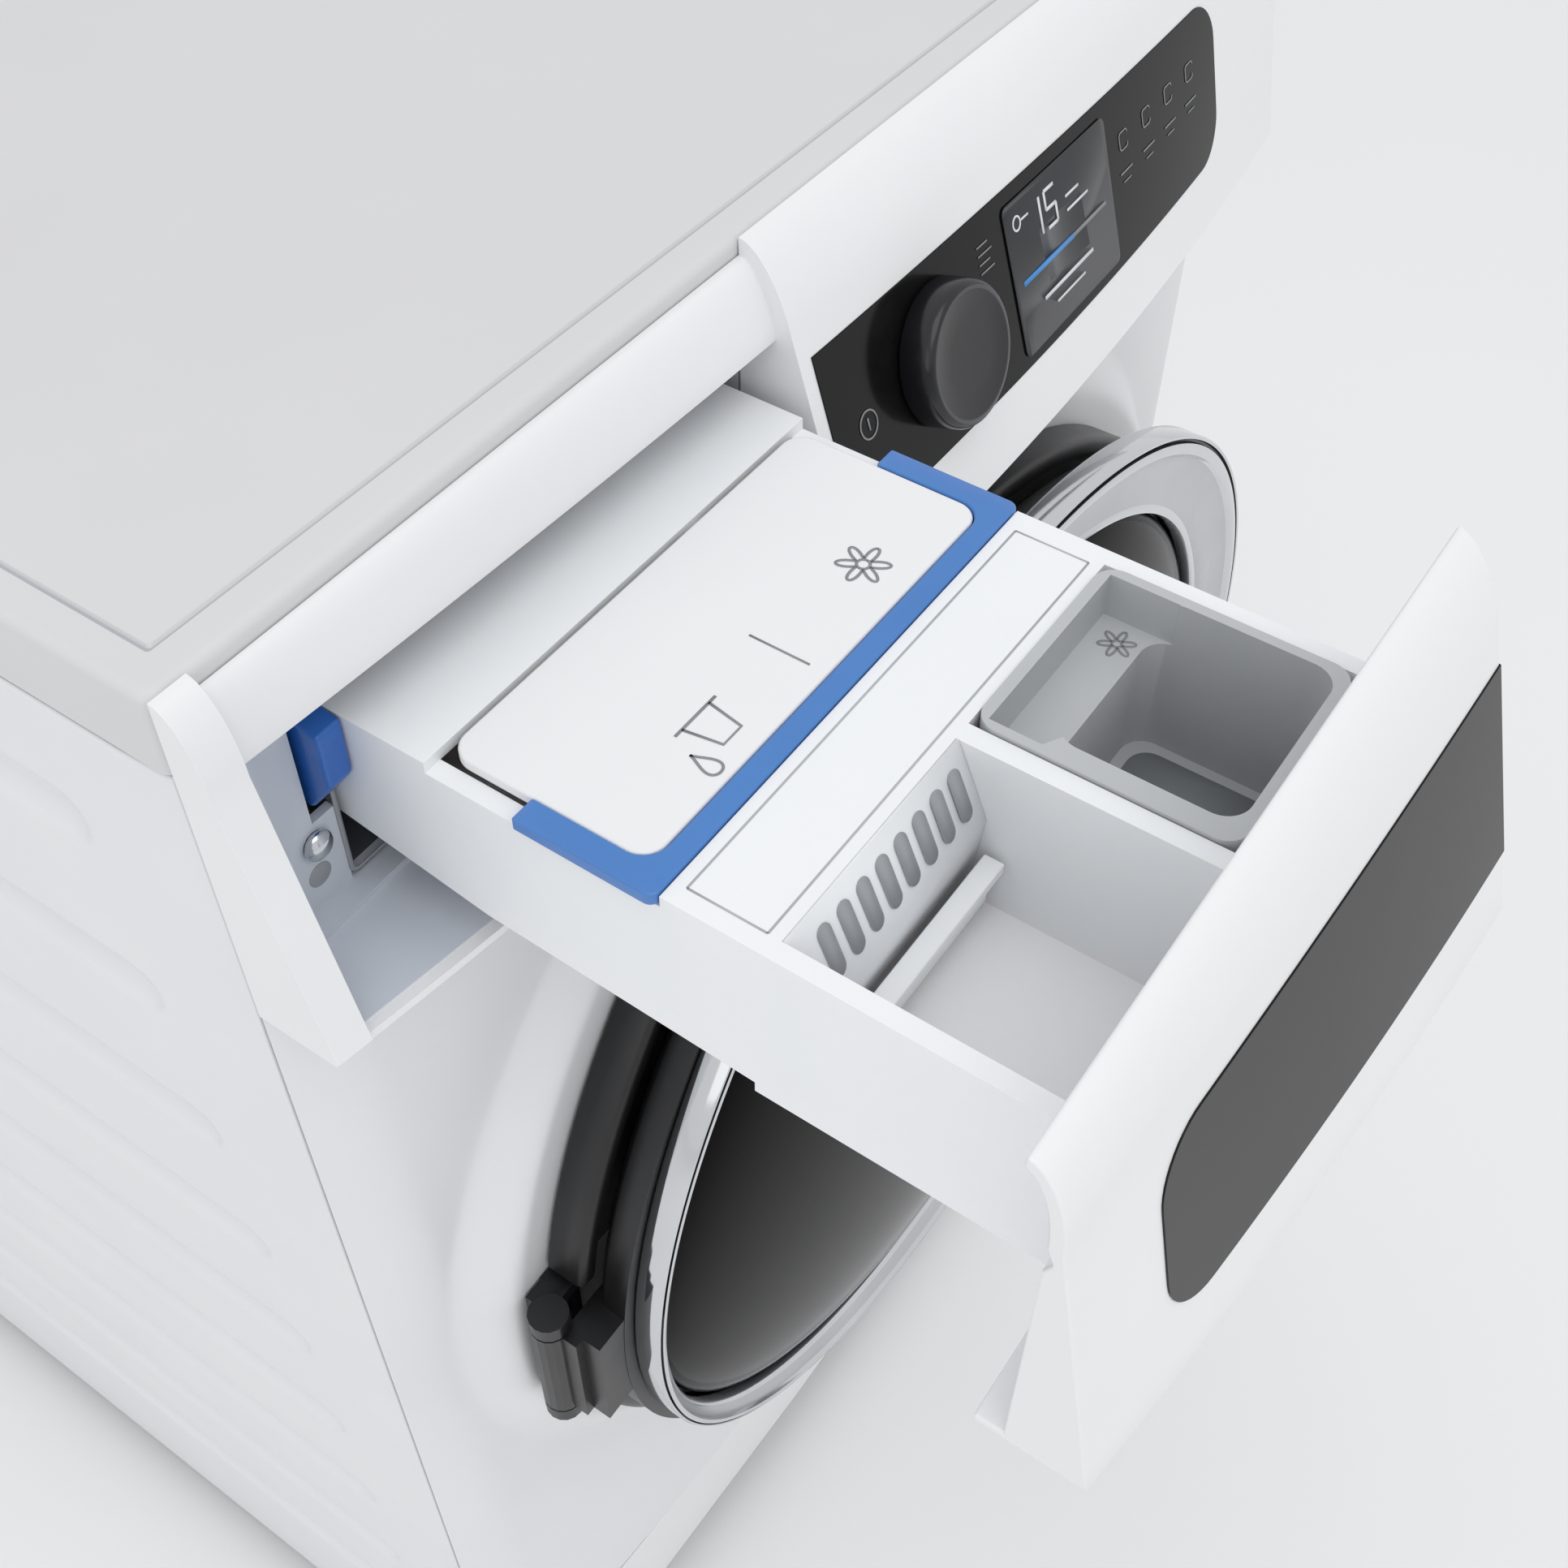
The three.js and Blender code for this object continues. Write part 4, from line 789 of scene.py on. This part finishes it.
# Floor, light and camera.
studio = {"background": (0.98, 0.985, 1.0, 1), "strength": 0.84, "ceiling": 20, "side": 5, "floorHalf": 6,
          "lens": 42.93}
scene = bpy.context.scene
floorMesh = bpy.data.meshes.new("studio_floor")
half = studio["floorHalf"]
floorCorners = [(-half, -half, -0.0005), (half, -half, -0.0005), (half, half, -0.0005), (-half, half, -0.0005)]
floorMesh.from_pydata(floorCorners, [], [(0, 1, 2, 3)])
floorMesh.materials.append(makeFinish("paleStudioFloor", "#F4F4F4", "#F1F1F1", 0.7, 0.05, 5, 0.01, 500))
floor = bpy.data.objects.new("studio_floor", floorMesh)
scene.collection.objects.link(floor)

scene.world = bpy.data.worlds.new("studio")
scene.world.use_nodes = True
background = scene.world.node_tree.nodes["Background"]
background.inputs["Color"].default_value = studio["background"]
background.inputs["Strength"].default_value = studio["strength"]
scene.view_settings.view_transform = "Standard"
scene.view_settings.look = "None"


def softLight(name, place, aim, size, power):
    # A square lamp turned to look at its aim.
    light = bpy.data.lights.new(name, "AREA")
    light.shape, light.size, light.energy = "SQUARE", size, power
    lamp = bpy.data.objects.new(name, light)
    lamp.matrix_world = Matrix.Translation(place) @ (Vector(aim) - Vector(place)).to_track_quat("-Z",
                                                                                                "Y").to_matrix().to_4x4()
    scene.collection.objects.link(lamp)


softLight("ceiling_box", (-0.6, -1.2, 3.2), (0, 0, 0.6), 2.2, studio["ceiling"])
softLight("side_box", (-3.0, -0.6, 1.7), (0, 0, 0.5), 1.8, studio["side"])

cameraData = bpy.data.cameras.new("camera")
cameraData.lens, cameraData.sensor_width = studio["lens"], 36
camera = bpy.data.objects.new("camera", cameraData)
right, down = Vector((0.5672, -0.82355, 0.00642)), Vector((-0.61713, -0.43017, -0.65887))
ahead = Vector((0.54537, 0.36975, -0.75223))  # the camera's own axes in the frame
turnIn = Matrix((right, -down, -ahead)).transposed()
camera.matrix_world = Matrix.Translation((-0.45903, (-284.71 + setBack) / 1000, 1.159)) @ turnIn.to_4x4()
cameraData.clip_start = 0.02
scene.collection.objects.link(camera)
scene.camera = camera

bpy.context.view_layer.update()
